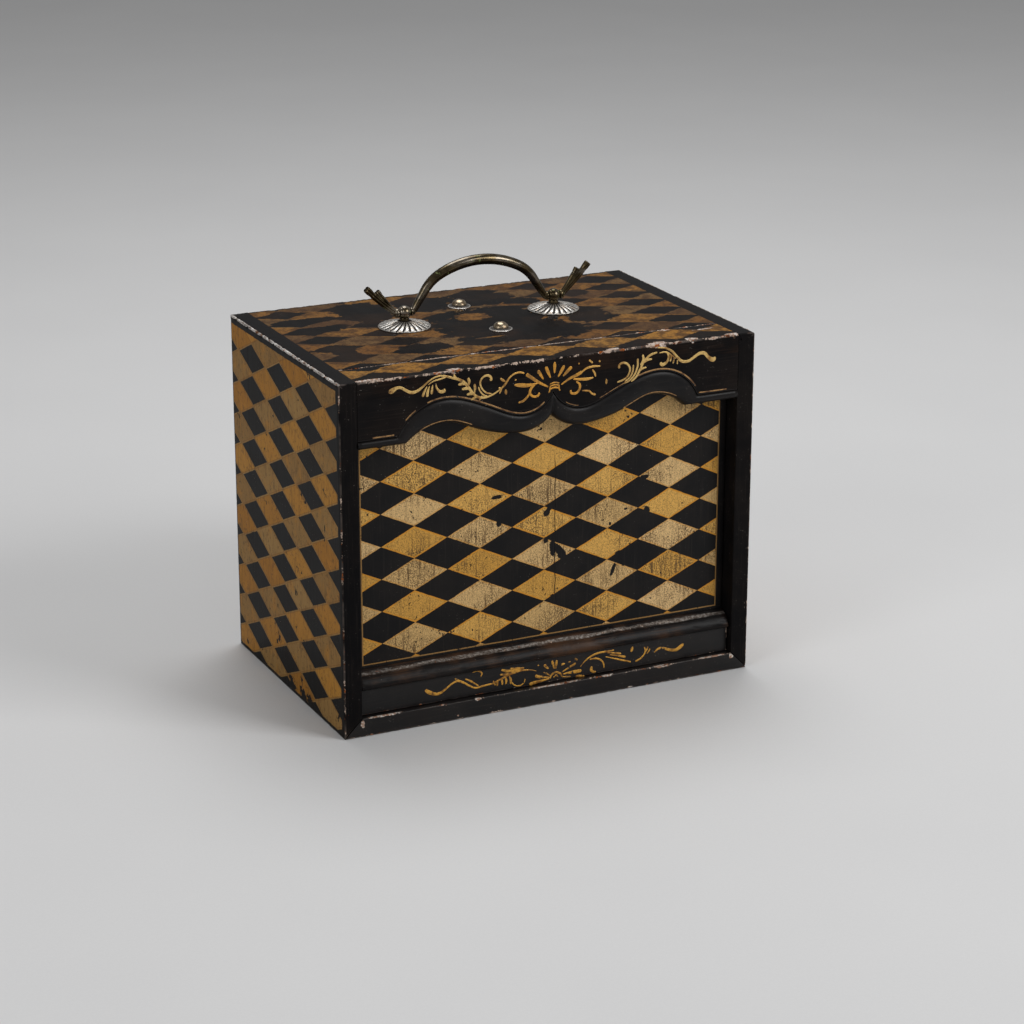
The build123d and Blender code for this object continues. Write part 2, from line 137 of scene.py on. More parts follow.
def new_finish(name):
    """A material and its place wire: the piece's own coordinates in millimetres."""
    made = bpy.data.materials.new(name)
    made.use_nodes = True
    made.node_tree.nodes.clear()
    where = made.node_tree.nodes.new("ShaderNodeTexCoord")
    return made, Wire(made.node_tree, where.outputs["Object"]) * 1000.0


def lay_on(made, place, colour, rough, metal=0.0, height=None, depth=0.1, **fixed):
    """Close a finish: colour, roughness and metal on the shader, and height in mm through a Bump node."""
    feeds = {"Base Color": colour, "Roughness": rough, "Metallic": metal, **fixed}
    if height is not None:
        feeds["Normal"] = place.node(
            "ShaderNodeBump", {"Strength": 1.0, "Distance": depth / 1000.0, "Height": height}
        )
    shader = place.node("ShaderNodeBsdfPrincipled", feeds)
    place.node("ShaderNodeOutputMaterial", {0: shader})
    return made


# Table: a broad sheet of pale matt card laid flat, so pale that it runs into the wall behind. Its
# fibres only just show.
card, place = new_finish("pale_card")
fibre = place.cloud(1.5, 2.0) * 0.5 + place.cloud(240.0, 2.0) * 0.5
lay_on(card, place, fibre.mix((0.62, 0.62, 0.625, 1), (0.70, 0.70, 0.70, 1)), 0.9, height=fibre, depth=0.02)

table_half, table_sink, count = 14.0, 0.0003, 57  # metres, metres, points to a side
span = np.linspace(-table_half, table_half, count)
across, along = np.meshgrid(span, span, indexing="ij")
spots = np.stack([across, along, np.full_like(across, -table_sink)], -1).reshape(-1, 3)
first = (np.arange(count - 1)[:, None] * count + np.arange(count - 1)).ravel()
table_mesh = bpy.data.meshes.new("table")
table_mesh.from_pydata(spots, [], np.stack([first, first + count, first + count + 1, first + 1], -1))
table_mesh.materials.append(card)
table = bpy.data.objects.new("table", table_mesh)
bpy.context.scene.collection.objects.link(table)

# Lamps: one broad soft lamp over the right shoulder of the camera, a weaker one on the left to open
# the shaded side, and one above and behind that draws a sheen along the bead and the moulding.
lit_spot = Vector((0, 0, 0.12))
for name, spot, wide, power in (
    ("lamp_right", (1.5, -1.9, 1.7), 1.2, 38.0),
    ("lamp_left", (-2.0, -0.9, 1.3), 1.0, 9.0),
    ("lamp_over", (0.3, 0.7, 2.1), 1.2, 21.0),
):
    light = bpy.data.lights.new(name, "AREA")
    light.size, light.energy = wide, power
    lamp = bpy.data.objects.new(name, light)
    lamp.location = spot
    lamp.rotation_mode = "QUATERNION"
    lamp.rotation_quaternion = (lit_spot - Vector(spot)).to_track_quat("-Z", "Y")
    bpy.context.scene.collection.objects.link(lamp)

sky = bpy.data.worlds.new("room")
bpy.context.scene.world = sky
sky.use_nodes = True
sky.node_tree.nodes.clear()
soft = sky.node_tree.nodes.new("ShaderNodeBackground")
soft.inputs[0].default_value, soft.inputs[1].default_value = (1.0, 1.0, 1.0, 1), 0.28
room = sky.node_tree.nodes.new("ShaderNodeOutputWorld")
sky.node_tree.links.new(soft.outputs[0], room.inputs[0])


# Case boards: softwood boards about 12.7 mm thick under black lacquer, mitred at the foot and butted
# round the top, with the back let into a rebate. The outer arrises are rubbed round and chipped, and
# the sides, back and top carry lozenges of gold leaf. All measures from here on are in millimetres.
WIDE, FRONT, BACK, TALL, BOARD = 151.5, -97.9, 99.1, 242.4, 12.7
INNER, UNDER, SEAM = 138.8, 229.7, -65.9  # inner face of a side, underside and cross seam of the top
PROUD, SUMMIT = 1.19, 287.07  # how far the bead may stand past the front, and the bail's highest point
REBATE, BACK_BOARD, LEDGE = 6.0, 9.0, 6.7  # depth of the rebates, the back's thickness, floor of the grooves
PANEL_HALF, PANEL_FACE, PANEL_BACK = 138.0, -84.9, -75.9
RAIL_FACE, RAIL_TOP, MOULDING_TOP = -93.3, 30.7, 42.7
SIDE_NET, TOP_NET, PANEL_NET = (52.0, 22.3), (48.0, 24.4), (47.4, 22.4)  # a lozenge's width and height
CORNER_POINTS = 10  # points that board_outline gives to each corner


def unevenness(places, size, seed):
    """Nine sine waves in seeded directions, lengths near size, added up: a smooth field about -1 to 1."""
    dice = np.random.default_rng(seed)
    ways = dice.normal(size=(9, 3))
    ways *= (2 * np.pi / size * dice.uniform(0.6, 1.7, 9) / np.linalg.norm(ways, axis=1))[:, None]
    return np.sin(places @ ways.T + dice.uniform(0, 6.28, 9)).sum(-1) / 3.0


def put(name, places, faces, finish, flat=0, marks=None):
    """A mesh from points in mm and lists of faces, turned so that a closed one faces outwards."""
    places = np.clip(places, (-WIDE, FRONT - PROUD, 0.0), (WIDE, BACK, SUMMIT))
    mesh = bpy.data.meshes.new(name)
    fans = [np.stack([f[:, 0], f[:, k], f[:, k + 1]], -1) for f in faces for k in range(1, f.shape[1] - 1)]
    fans = places[np.concatenate(fans)]
    inside_out = np.einsum("ij,ij->i", fans[:, 0], np.cross(fans[:, 1], fans[:, 2])).sum() < 0
    lists = [face for f in faces for face in (f[:, ::-1] if inside_out else f).tolist()]
    mesh.from_pydata(places / 1000.0, [], lists)
    smooth = np.ones(len(lists), bool)
    if flat:
        smooth[-flat:] = False
    mesh.polygons.foreach_set("use_smooth", smooth)
    if marks is not None:
        mesh.attributes.new("rub", "FLOAT", "POINT").data.foreach_set("value", marks.astype(np.float32))
    mesh.materials.append(finish)
    mesh.update()
    piece = bpy.data.objects.new(name, mesh)
    bpy.context.scene.collection.objects.link(piece)
    return piece


def net(rows, columns, round_rows=False, round_columns=True):
    """Four-sided faces between neighbouring points of a grid, joined round where a way is closed."""
    r = np.arange(rows if round_rows else rows - 1)[:, None]
    c = np.arange(columns if round_columns else columns - 1)[None, :]
    r2, c2 = (r + 1) % rows, (c + 1) % columns
    corners = [r * columns + c, r2 * columns + c, r2 * columns + c2, r * columns + c2]
    return np.stack(corners, -1).reshape(-1, 4)


def run_faces(rings, count):
    """Faces of a run of closed rings of count points each: the skin, then one face over each end."""
    caps = np.array([np.arange(count), np.arange(count)[::-1] + (rings - 1) * count])
    return [net(rings, count), caps]


def board_outline(corners, inset):
    """Closed outline of a board's section: each corner (a, b, radius, rub) is a quarter round of six
    points with two more on each side of it, all moved inwards by inset. Gives the points and their rub."""
    spots = corners[:, :2]
    ahead = np.roll(spots, -1, 0) - spots
    lengths = np.linalg.norm(ahead, axis=1)
    ahead /= lengths[:, None]
    back, before = -np.roll(ahead, 1, 0), np.roll(lengths, 1)
    around = np.roll(spots, -1, 0)
    wound = np.sign((spots[:, 0] * around[:, 1] - spots[:, 1] * around[:, 0]).sum())
    turn = wound * np.sign(ahead[:, 0] * back[:, 1] - ahead[:, 1] * back[:, 0])
    cosine = (ahead * back).sum(1)
    half = np.sqrt((1 + cosine) / (1 - cosine))  # corner's reach for a unit radius
    middle = (ahead + back) / np.linalg.norm(ahead + back, axis=1)[:, None]
    sine = np.sqrt((1 - cosine) / 2)
    tips = spots + middle * (turn * inset / sine)[:, None]
    radius = np.maximum(corners[:, 2] - inset, 0.0)
    reach = radius * half
    made, rubs = [], []
    for far, rub in ((2.6, 0.0), (1.0, 0.5)):
        step = np.minimum(reach + far, 0.45 * before)
        made.append(tips + back * step[:, None])
        rubs.append(rub * corners[:, 3])
    centre = tips + middle * (radius / sine)[:, None]
    start, end = tips + back * reach[:, None] - centre, tips + ahead * reach[:, None] - centre
    for part in np.linspace(0, 1, 6):
        way = start * (1 - part) + end * part
        size = np.maximum(np.linalg.norm(way, axis=1), 1e-9)
        made.append(centre + way * (radius / size)[:, None])
        rubs.append(corners[:, 3])
    for far, rub in ((1.0, 0.5), (2.6, 0.0)):
        step = np.minimum(reach + far, 0.45 * lengths)
        made.append(tips + ahead * step[:, None])
        rubs.append(rub * corners[:, 3])
    return np.stack(made, 1).reshape(-1, 2), np.stack(rubs, 1).reshape(-1)


def board(
    name, run, axes, section, finish, ends=(0.9, 0.9), end_rub=(1.0, 1.0), mitre=None, wear=0.35, seed=1, pitch=1.7
):
    """A board: section(t) carried along a run from run[0] to run[1], its ends rounded over and closed,
    then its arrises worn by a smooth field of chips. axes names the section's two axes and the run's."""
    rows = []
    for end, way, round_over, rub in zip(run, (1, -1), ends, end_rub):
        turn = np.linspace(0, np.pi / 2, 5)
        near = [(0.0, round_over + 1.6, 0.0), (0.0, round_over + 0.6, 0.5 * rub)]
        near += [(round_over * (1 - np.cos(t)), round_over * (1 - np.sin(t)), rub) for t in turn]
        near += [(round_over + 0.9, 0.0, 0.5 * rub), (round_over + 2.4, 0.0, 0.0)]
        rows.append([(end + way * along, inset, worn) for along, inset, worn in near])
    start, stop = rows[0][-1][0] + 1.0, rows[1][-1][0] - 1.0
    between = [(t, 0.0, 0.0) for t in np.linspace(start, stop, max(int((stop - start) / pitch), 2))]
    rows = rows[0] + between + rows[1][::-1]
    rings, rubs, middle = [], [], (run[0] + run[1]) / 2
    for t, inset, worn in rows:
        corners = np.array(section(t), float)
        ring, rub = board_outline(corners, inset)
        offset = 0.0 if mitre is None else mitre(ring[:, 0], ring[:, 1])
        along = middle + (t - middle) * (1 - offset / abs(run[1] - middle))
        rings.append(np.column_stack([ring, np.broadcast_to(along, len(ring))]))
        bared = np.repeat(corners[:, 3], CORNER_POINTS) > 0.4
        rubs.append(np.maximum(rub, worn * np.where(bared, 1.0, 0.25)))
    order = [axes.index(axis) for axis in "xyz"]
    places = np.concatenate(rings)[:, order]
    marks, count = np.concatenate(rubs), len(rings[0])
    grid = places.reshape(len(rings), count, 3)
    out = np.cross(np.gradient(grid, axis=0), np.roll(grid, -1, 1) - np.roll(grid, 1, 1)).reshape(-1, 3)
    out /= np.maximum(np.linalg.norm(out, axis=1), 1e-9)[:, None]
    centre = places.mean(0)
    if ((places - centre) * out).sum() < 0:
        out = -out
    chips = unevenness(places, 9.0, seed) + 0.7 * unevenness(places, 3.2, seed + 50)
    bite = marks**2 * (0.10 + wear * np.clip(chips - 0.2, 0, 1.6))
    places = places - out * bite[:, None]
    return put(name, places, run_faces(len(rings), count), finish, flat=2, marks=marks)


def worn_mask(place, light, start):
    """Where the arrises are rubbed through, and the colour under the lacquer there: dark wood, a red
    brown undercoat, or the pale clay ground where light is high."""
    rub = place.node("ShaderNodeAttribute", {}, out=2, attribute_name="rub")
    ragged = (place.cloud(5.0, 4.0) - 0.5) * 2.3 + (place.cloud(1.1, 3.0) - 0.5) * 1.3
    through = (rub + ragged).ease(start, start + 0.16)
    tone = place.cloud(9.0, 3.0)
    paler = 0.12 * light
    under = tone.ease(0.50 - paler, 0.56 - paler).mix((0.075, 0.028, 0.014, 1), (0.50, 0.385, 0.31, 1))
    under = (place + (31.0, 7.0, 3.0)).cloud(7.0, 2.0).ease(0.56, 0.60).mix(under, (0.30, 0.085, 0.02, 1))
    return through, under, rub


def lacquer(name, grain, paint=None, light=0.5, brown=0.0, gloss=0.24, start=1.0, shine=0.15):
    """Black lacquer over wood: cloudy near-black, faint grain telegraphing through, dust, rubbed
    arrises with a pale line along them that is partly wear and partly a painted highlight, and where
    paint is given its gold on top. grain squeezes the place along the board."""
    made, place = new_finish(name)
    long_grain = (place * grain).cloud(1.0, 5.0, 0.6)
    cloud = place.cloud(28.0, 3.0)
    colour = cloud.ease(0.35, 0.7).mix((0.0048, 0.0044, 0.0048, 1), (0.0098, 0.0080, 0.0074, 1))
    colour = (long_grain.ease(0.52, 0.72) * 0.55).mix(colour, (0.019, 0.0155, 0.0135, 1))
    if brown:
        colour = ((place.cloud(38.0, 4.0) + long_grain * 0.35).ease(0.60, 0.86) * brown).mix(
            colour, (0.055, 0.027, 0.014, 1)
        )
    rough = gloss + cloud * 0.18 + long_grain * 0.14
    metal = 0.0
    height = long_grain * 0.35 + place.cloud(0.9, 2.0) * 0.12
    if paint:
        leaf, gold, sunk = paint(place)
        colour = leaf.mix(colour, gold)
        rough = rough * (1 - leaf) + leaf * 0.46
        metal = leaf * 0.18
        height = height + leaf * 0.25 - sunk
    dust = place.cloud(0.8, 1.0).ease(0.735, 0.76) * place.cloud(14.0).ease(0.45, 0.62)
    colour = (dust * 0.55).mix(colour, (0.30, 0.27, 0.24, 1))
    through, under, rub = worn_mask(place, light, start)
    # painted highlight and wear: a pale grey line along the rubbed arrises, stronger as light is higher
    edge = rub.ease(0.62, 1.0) * place.cloud(15.0).ease(0.36, 0.60) * (0.45 + 0.4 * light)
    colour = edge.mix(colour, (0.115, 0.094, 0.082, 1))
    colour = through.mix(colour, under)
    rough = rough * (1 - through) + through * 0.8
    height = height - through * 1.2
    return lay_on(made, place, colour, rough, metal, height, 0.12, **{"Specular IOR Level": shine})


def lozenges(place, u, v, wide, high, wobble=0.5):
    """A net of leaning squares wide by high: which squares are leaf, which of those are the warmer
    tone, how far in mm from the nearest edge a point is, a number of its own for each square, and the
    height v of its middle."""
    sway = place.cloud(26.0, 2.0) - 0.5
    u, v = u / wide + sway * (wobble * 2 / wide), v / high - sway * (wobble / high)
    a, b = u + v, u - v
    m, n = a.maths("ROUND"), b.maths("ROUND")
    leaf = 1 - 2 * ((m + n) * 0.5).maths("FRACT")
    warm = 1 - 2 * (m * 0.5).maths("FRACT")
    off = abs(a - m).most(abs(b - n))
    inside = (0.5 - off) * float(1.0 / np.hypot(1 / wide, 1 / high))
    own = place.node(
        "ShaderNodeTexWhiteNoise",
        {0: place.node("ShaderNodeCombineXYZ", {0: m * 3.1, 1: n * 5.7, 2: 0.0})},
        noise_dimensions="3D",
    )
    return leaf, warm, inside, own, (m - n) * (high / 2)


def side_leaf(place):
    """Gold leaf of the sides and back: warm and pale lozenges with black ones a little small between
    them, a black border, and a pale line along the top arris that is partly wear and partly a painted
    highlight."""
    x, y, z = place.parts()
    half, top_row = SIDE_NET[0] / 2, 209.65
    turned = abs(x).maths("GREATER_THAN", WIDE - 1.5)
    u = (y - FRONT) * turned + (1 - turned) * (x + half)
    leaf, warm, inside, own, row = lozenges(place, u - half, z - top_row, *SIDE_NET)
    leaf = leaf.most(row.maths("GREATER_THAN", 16.0))
    thin = leaf * inside.ease(-0.2, 0.15) + (1 - leaf) * (1 - (inside + place.cloud(2.5) * 0.6).ease(0.95, 1.35))
    warm_gold = own.mix((0.340, 0.142, 0.016, 1), (0.450, 0.215, 0.034, 1))
    pale_gold = own.mix((0.255, 0.135, 0.036, 1), (0.335, 0.195, 0.062, 1))
    gold = (warm * leaf).mix(pale_gold, warm_gold)
    gold = (place.cloud(11.0, 4.0).ease(0.5, 0.72) * 0.6).mix(gold, (0.44, 0.19, 0.025, 1))
    fibres = (place * (1.0, 1.0, 0.12)).cloud(1.6, 4.0, 0.6)
    gold = (fibres.ease(0.5, 0.66) * 0.45).mix(gold, (0.120, 0.062, 0.020, 1))
    gold = (place.cloud(3.0, 4.0).ease(0.54, 0.68) * 0.5).mix(gold, (0.085, 0.045, 0.018, 1))
    gold = ((1 - inside.ease(0.3, 0.9)) * leaf * 0.5).mix(gold, (0.22, 0.090, 0.018, 1))
    edge_u = turned * (y - FRONT - 5.2).least(BACK - 2.2 - y) + (1 - turned) * (WIDE - 4.7 - abs(x))
    field = edge_u.least((TALL - 5.2 - z).least(z - 2.4)) + (place.cloud(4.0) - 0.5) * 1.2
    outer = abs(x).maths("GREATER_THAN", WIDE - 0.3).most(y.maths("GREATER_THAN", BACK - 0.3))
    lost = (place.cloud(16.0, 5.0, 0.65) + (1 - (z / 34.0).ease(0.0, 1.0)) * 0.10).ease(0.635, 0.665)
    leaf_on = thin * outer * field.ease(-0.1, 0.25) * (1 - lost) * (1 - place.cloud(1.3, 3.0).ease(0.66, 0.72) * 0.8)
    # painted highlight and wear: a pale, near-white line along the top arris of the sides and back
    arris = (abs(x) + z - (WIDE + TALL - 1.5) + (place.cloud(3.0) - 0.5) * 0.6).ease(-0.1, 0.2)
    arris = arris * place.cloud(30.0, 3.0).ease(0.30, 0.42)
    gold = arris.mix(gold, place.cloud(1.6).ease(0.40, 0.62).mix((0.40, 0.36, 0.33, 1), (0.85, 0.82, 0.79, 1)))
    return leaf_on.most(arris), gold, lost * 0.3


def oval(u, v, a, b, wide, high):
    """0 at (a, b) and 1 on the oval of that half width and half height round it."""
    return (((u - a) / wide).maths("POWER", 2.0) + ((v - b) / high).maths("POWER", 2.0)).maths("SQRT")


def largest(values):
    """The largest of several values at each place."""
    found = values[0]
    for value in values[1:]:
        found = found.most(value)
    return found


def patches(place, u, v, spots, rough):
    """Above 0 inside ragged oval patches (u, v, half width, half height)."""
    ragged = (place.cloud(rough, 4.0, 0.65) - 0.5) * 1.5
    return largest([1 - oval(u, v, *spot) for spot in spots]) + ragged


def clay(place, brown, pale):
    """Colour of a chip that goes down to the clay ground."""
    return place.cloud(2.0, 3.0).ease(0.42, 0.6).mix(brown, pale)


def top_leaf(place):
    """Gold leaf of the top, rubbed to copper brown and run together near the ends, and gone in the
    middle where hands and the handle have worn it; pale chips along the joint and the front arris."""
    x, y, z = place.parts()
    leaf, warm, inside, own = lozenges(place, x, y - (FRONT + 19.5), *TOP_NET, 1.6)[:4]
    warm_gold = own.mix((0.165, 0.072, 0.020, 1), (0.260, 0.125, 0.030, 1))
    pale_gold = own.mix((0.100, 0.050, 0.022, 1), (0.165, 0.095, 0.038, 1))
    gold = warm.mix(pale_gold, warm_gold)
    front = y.maths("LESS_THAN", SEAM)
    gold = (front * 0.6).mix(gold, (0.42, 0.20, 0.035, 1))
    gold = (place.cloud(9.0, 5.0, 0.6).ease(0.43, 0.60) * 0.75).mix(gold, (0.060, 0.029, 0.014, 1))
    gold = (place.cloud(1.6, 3.0).ease(0.50, 0.62) * 0.5).mix(gold, (0.050, 0.026, 0.014, 1))
    bald = (
        (5, 0, 50, 48), (-2, -36, 38, 16), (30, -32, 30, 24), (-65.5, 63, 24, 29), (-18.5, 71, 24, 17),
        (24, 64, 26, 22), (-111, 59, 26, 8), (-106, 34, 20, 8), (-117.5, -28, 9, 24), (-65.5, -40, 20, 13),
        (70, -6, 16, 24), (44, 44, 16, 14), (88, 52, 14, 9),
    )
    lost = patches(place, x, y, bald, 9.0)
    scuff = abs(oval(x, y, 4.0, 16.0, 54.0, 29.0) - 1.0)
    arc = (1 - scuff.ease(0.05, 0.11)) * y.ease(22.0, 30.0) * 0.75
    kept = patches(place, x, y, ((-3.5, 21.0, 12, 11), (-16.0, -33.0, 12, 1.5)), 6.0).ease(0.0, 0.15)
    gone = lost.ease(0.0, 0.12) * (1 - arc) * (1 - kept)
    ragged = (place.cloud(7.0, 4.0, 0.65) - 0.5) * 10.0
    on_leaf = leaf.most(kept).most(arc)
    edges = on_leaf * (inside + ragged).ease(-1.2, -0.4) + (1 - on_leaf) * (1 - (inside + ragged * 0.6).ease(0.9, 1.6))
    field = (WIDE - 6.0 - abs(x)).least((BACK - 3.1 - y).least(y - (FRONT + 6.0)))
    specks = place.cloud(1.4, 3.0).ease(0.60, 0.68) * 0.7
    leaf_on = edges * (field + (place.cloud(5.0) - 0.5) * 3.0).ease(0.0, 0.6) * (1 - gone) * (1 - specks)
    leaf_on = leaf_on * (abs(SEAM - y) + (place.cloud(3.0) - 0.5) * 2.0).ease(1.2, 1.8)
    chipped = (
        (-70.5, -95.5, 7, 3.2), (78.5, -95, 10, 4.2), (44.5, -95.5, 6, 3), (124.5, -76, 9, 1.6), (146, -73, 4, 5),
        (-131, -95.5, 15, 2.4), (104, -95, 6, 3.6), (-147, -92, 4, 5), (137, -95.5, 9, 2.6), (-20, SEAM, 118, 0.9),
        (98, -67.5, 5, 2.2),
    )
    chips = patches(place, x, y, chipped, 2.6).ease(0.18, 0.30) * z.ease(TALL - 3.0, TALL - 1.8)
    gold = chips.mix(gold, clay(place, (0.33, 0.20, 0.135, 1), (0.60, 0.53, 0.48, 1)))
    return leaf_on.most(chips), gold, gone * 0.1 + chips * 0.8


across_grain, up_grain = (0.03, 0.9, 0.9), (0.9, 0.9, 0.03)
side_finish = lacquer("lozenge_lacquer_sides", up_grain, side_leaf, light=0.25, start=1.12, shine=0.035)
top_finish = lacquer("lozenge_lacquer_top", across_grain, top_leaf, light=1.0, brown=0.25, start=0.92, shine=0.03)


def frame_chips(place):
    """Pale chips down to the ground on the front arris of the bottom board and at its two corners."""
    x, y, z = place.parts()
    chipped = (
        (-122, 12.7, 15, 1.1), (-55, 12.1, 3, 1.4), (3.5, 12.8, 24, 1.1), (42, 12.6, 6, 1.2), (124, 12.7, 15, 1.1),
        (-138.8, 9, 1.8, 3.6), (139.6, 11, 2.4, 3.4), (84, 12.2, 8, 1.6), (-70, 3, 1.2, 0.9), (60, 1, 3, 0.7),
    )
    chips = patches(place, x, z, chipped, 2.2).ease(0.22, 0.34) * (1 - y.ease(FRONT + 1.2, FRONT + 1.6))
    return chips, clay(place, (0.30, 0.17, 0.11, 1), (0.60, 0.54, 0.48, 1)), chips * 0.8


# plain black for the apron, and a glossier one with the chips for the bottom board and the foot rail
frame_finish = lacquer("black_lacquer_frame", across_grain, light=0.45, brown=0.05, shine=0.05)
rail_finish = lacquer("black_lacquer_rails", across_grain, frame_chips, light=0.45, brown=0.06, shine=0.30)


def side_section(y, way):
    """Section of a side board at y, across by height: mitred foot, square top, rebated behind."""
    deep = REBATE if y > BACK - BACK_BOARD else 0.001
    shape = [
        (WIDE, 0.0, 0.35, 0.8),
        (WIDE, TALL, 0.9, 1.0),
        (INNER, TALL, 0.12, 0.2),
        (INNER, UNDER + REBATE, 0.0, 0.0),
        (INNER + deep, UNDER + REBATE - 0.001, 0.0, 0.0),
        (INNER + deep, BOARD - deep, 0.12, 0.2),
    ]
    return [(way * a, b, r, rub) for a, b, r, rub in (shape if way < 0 else shape[::-1])]


for label, way in (("left_side", -1), ("right_side", 1)):
    piece = board(
        label + "_board",
        (FRONT, BACK),
        "xzy",
        lambda y, way=way: side_section(y, way)[::-1],
        side_finish,
        ends=(0.75, 0.6),
        seed=3 + way,
    )
    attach(piece, "case")
    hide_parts(label)

top_shape = [(BACK, UNDER + REBATE, 0.1, 0), (BACK, TALL, 0.9, 1), (SEAM, TALL, 0.42, 1), (SEAM, UNDER, 0.1, 0)]
top_shape += [(BACK - BACK_BOARD, UNDER, 0.1, 0), (BACK - BACK_BOARD, UNDER + REBATE, 0.1, 0)]
piece = board(
    "top_plank",
    (-INNER, INNER),
    "yzx",
    lambda x: top_shape[::-1],
    top_finish,
    ends=(0.12, 0.12),
    end_rub=(0.3, 0.3),
    seed=11,
)
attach(piece, "case")
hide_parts("top_board")

rail_shape = [(SEAM, UNDER, 0.1, 0), (SEAM, TALL, 0.42, 1), (FRONT, TALL, 0.95, 1), (FRONT, UNDER, 0.08, 0.1)]
piece = board(
    "top_rail_plank",
    (-INNER, INNER),
    "yzx",
    lambda x: rail_shape[::-1],
    top_finish,
    ends=(0.12, 0.12),
    end_rub=(0.3, 0.3),
    wear=0.6,
    seed=12,
)
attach(piece, "case")
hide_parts("front_top_rail")

groove_front, groove_back = FRONT + 12.6, FRONT + 22.4
floor_shape = [
    (FRONT, 0, 0.6, 0.9),
    (FRONT, BOARD, 0.6, 0.8),
    (groove_front, BOARD, 0.3, 0.2),
    (groove_front, LEDGE, 0, 0),
    (groove_back, LEDGE, 0, 0),
    (groove_back, BOARD, 0.3, 0.2),
    (BACK - BACK_BOARD, BOARD, 0.1, 0),
    (BACK - BACK_BOARD, LEDGE, 0, 0),
    (BACK, LEDGE, 0.1, 0),
    (BACK, 0, 0.5, 1),
]
piece = board(
    "bottom_plank",
    (-WIDE, WIDE),
    "yzx",
    lambda x: floor_shape,
    rail_finish,
    ends=(0.12, 0.12),
    end_rub=(0.15, 0.15),
    mitre=lambda y, z: z,
    seed=13,
)
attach(piece, "case")
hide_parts("bottom_board")

half, foot, head = 144.7, 6.8, 235.6
back_shape = [(a, b, 0.2, 0.3) for a, b in ((half, foot), (half, head), (-half, head), (-half, foot))]
piece = board(
    "back_plank",
    (BACK - BACK_BOARD, BACK),
    "xzy",
    lambda y: back_shape,
    side_finish,
    ends=(0.2, 0.2),
    end_rub=(0.2, 0.2),
    seed=14,
)
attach(piece, "case")
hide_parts("back_board")


# Apron and bead: a board under the top rail with a cusped lower edge, and along that edge a broad
# rounded moulding of lacquered wood that swells at the cusp and the arches. A thin gold line follows it.
def half_outline(cusp, lobe, turn, crown, corner):
    """Half of a cusped outline as (across, depth below the top): an arc level at the lobe, a soft S
    through the turn, an arc level at the crown, then level to the side board."""
    share = np.linspace(0, 1, 30)[:, None]

    def level_arc(level, end):
        side, drop = end[0] - level[0], end[1] - level[1]
        radius = (side**2 + drop**2) / (2 * drop)
        sweep = np.arctan2(side * np.sign(radius), abs(radius - drop)) * share[:, 0]
        return np.column_stack([level[0] + radius * np.sin(sweep), level[1] + radius * (1 - np.cos(sweep))])

    def bow(p, q, way_p, way_q):
        s = np.linspace(0, 1, 26)[:, None]
        return (
            (2 * s**3 - 3 * s**2 + 1) * p
            + (s**3 - 2 * s**2 + s) * way_p
            + (3 * s**2 - 2 * s**3) * q
            + (s**3 - s**2) * way_q
        )

    cusp, lobe, turn, crown, corner = (np.array(p, float) for p in (cusp, lobe, turn, crown, corner))
    one, two = np.linalg.norm(turn - lobe), np.linalg.norm(crown - turn)
    lean = (crown - lobe) / (one + two)
    lean[1] *= 1.35
    level = np.array([1.0, 0.0])
    first = level_arc(lobe, cusp)[::-1]
    second = bow(lobe, turn, level * one, lean * one)
    third = bow(turn, crown, lean * two, level * two)
    fourth = level_arc(crown, corner)
    last = np.column_stack([np.linspace(corner[0], INNER, 12), np.full(12, corner[1])])
    return np.concatenate([first, second[1:], third[1:], fourth[1:], last[1:]])


apron_edges = {  # the carver's two halves differ a little
    -1: half_outline((0, 39.5), (22, 49), (50, 43.8), (77, 35.2), (104, 45.6)),
    1: half_outline((0, 39.5), (22, 49), (50, 43.8), (75, 35.2), (99.5, 45.6)),
}
bead_edges = {
    -1: half_outline((0, 23), (21, 36.5), (47, 27.6), (77, 18.8), (111, 39.6)),
    1: half_outline((0, 23), (21, 36.5), (47, 27.6), (78, 18.8), (108, 39)),
}
mirror = np.array([-1.0, 1.0])
whole_low = np.concatenate([apron_edges[-1][:0:-1] * mirror, apron_edges[1]])
whole_high = np.concatenate([bead_edges[-1][:0:-1] * mirror, bead_edges[1]])


def apron_section(x):
    """Section of the apron at x, depth by height: its face stops in a fine groove above the bead, and
    its lower edge is hidden inside the bead."""
    low = TALL - np.interp(x, whole_low[:, 0], whole_low[:, 1]) + 4.0
    quirk = TALL - np.interp(x, whole_high[:, 0], whole_high[:, 1]) + 0.35
    deep = FRONT + 1.5
    face = [(FRONT, UNDER, 0.08, 0.1), (FRONT, quirk, 0, 0), (deep, quirk, 0, 0), (deep, low, 0, 0)]
    return face + [(FRONT + 12.4, low, 0, 0), (FRONT + 12.4, UNDER, 0.05, 0)]


piece = board(
    "apron_plank", (-INNER, INNER), "yzx", apron_section, frame_finish, (0.3, 0.3), (0.3, 0.3), seed=21, pitch=0.8
)
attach(piece, "case")
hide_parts("apron_board")

# the bead's section: up from the groove to the crown, a longer curve down and under, and a flat back
rise = np.linspace(0, np.pi / 2, 14)
upper = np.column_stack([0.42 * (1 - np.cos(rise)), -1.2 + 2.4 * (1 - np.sin(rise)) ** 1.15])
lower = np.column_stack([0.42 + 0.58 * np.sin(rise), -1.2 + 5.8 * (1 - np.cos(rise))])
behind = np.array([(1.0, 8.0), (0.98, 12.0), (0.9, 12.3), (0.15, 12.3), (0.02, 11.0), (0.0, 4.0)])
bead_section = np.concatenate([upper, lower[1:], behind])
line = np.where(np.abs(whole_low[:, 0]) < 1e-6, 1.0, np.exp(-((whole_low[:, 0] / 1.6) ** 2)))
grid = whole_high[:, None, :] + (whole_low - whole_high)[:, None, :] * bead_section[None, :, :1]
crease = 0.9 * line[:, None] * (bead_section[None, :, 1] < 6.0)
depth = FRONT + bead_section[None, :, 1] + crease
bead = np.stack([grid[..., 0], np.broadcast_to(depth, grid.shape[:2]), TALL - grid[..., 1]], -1)
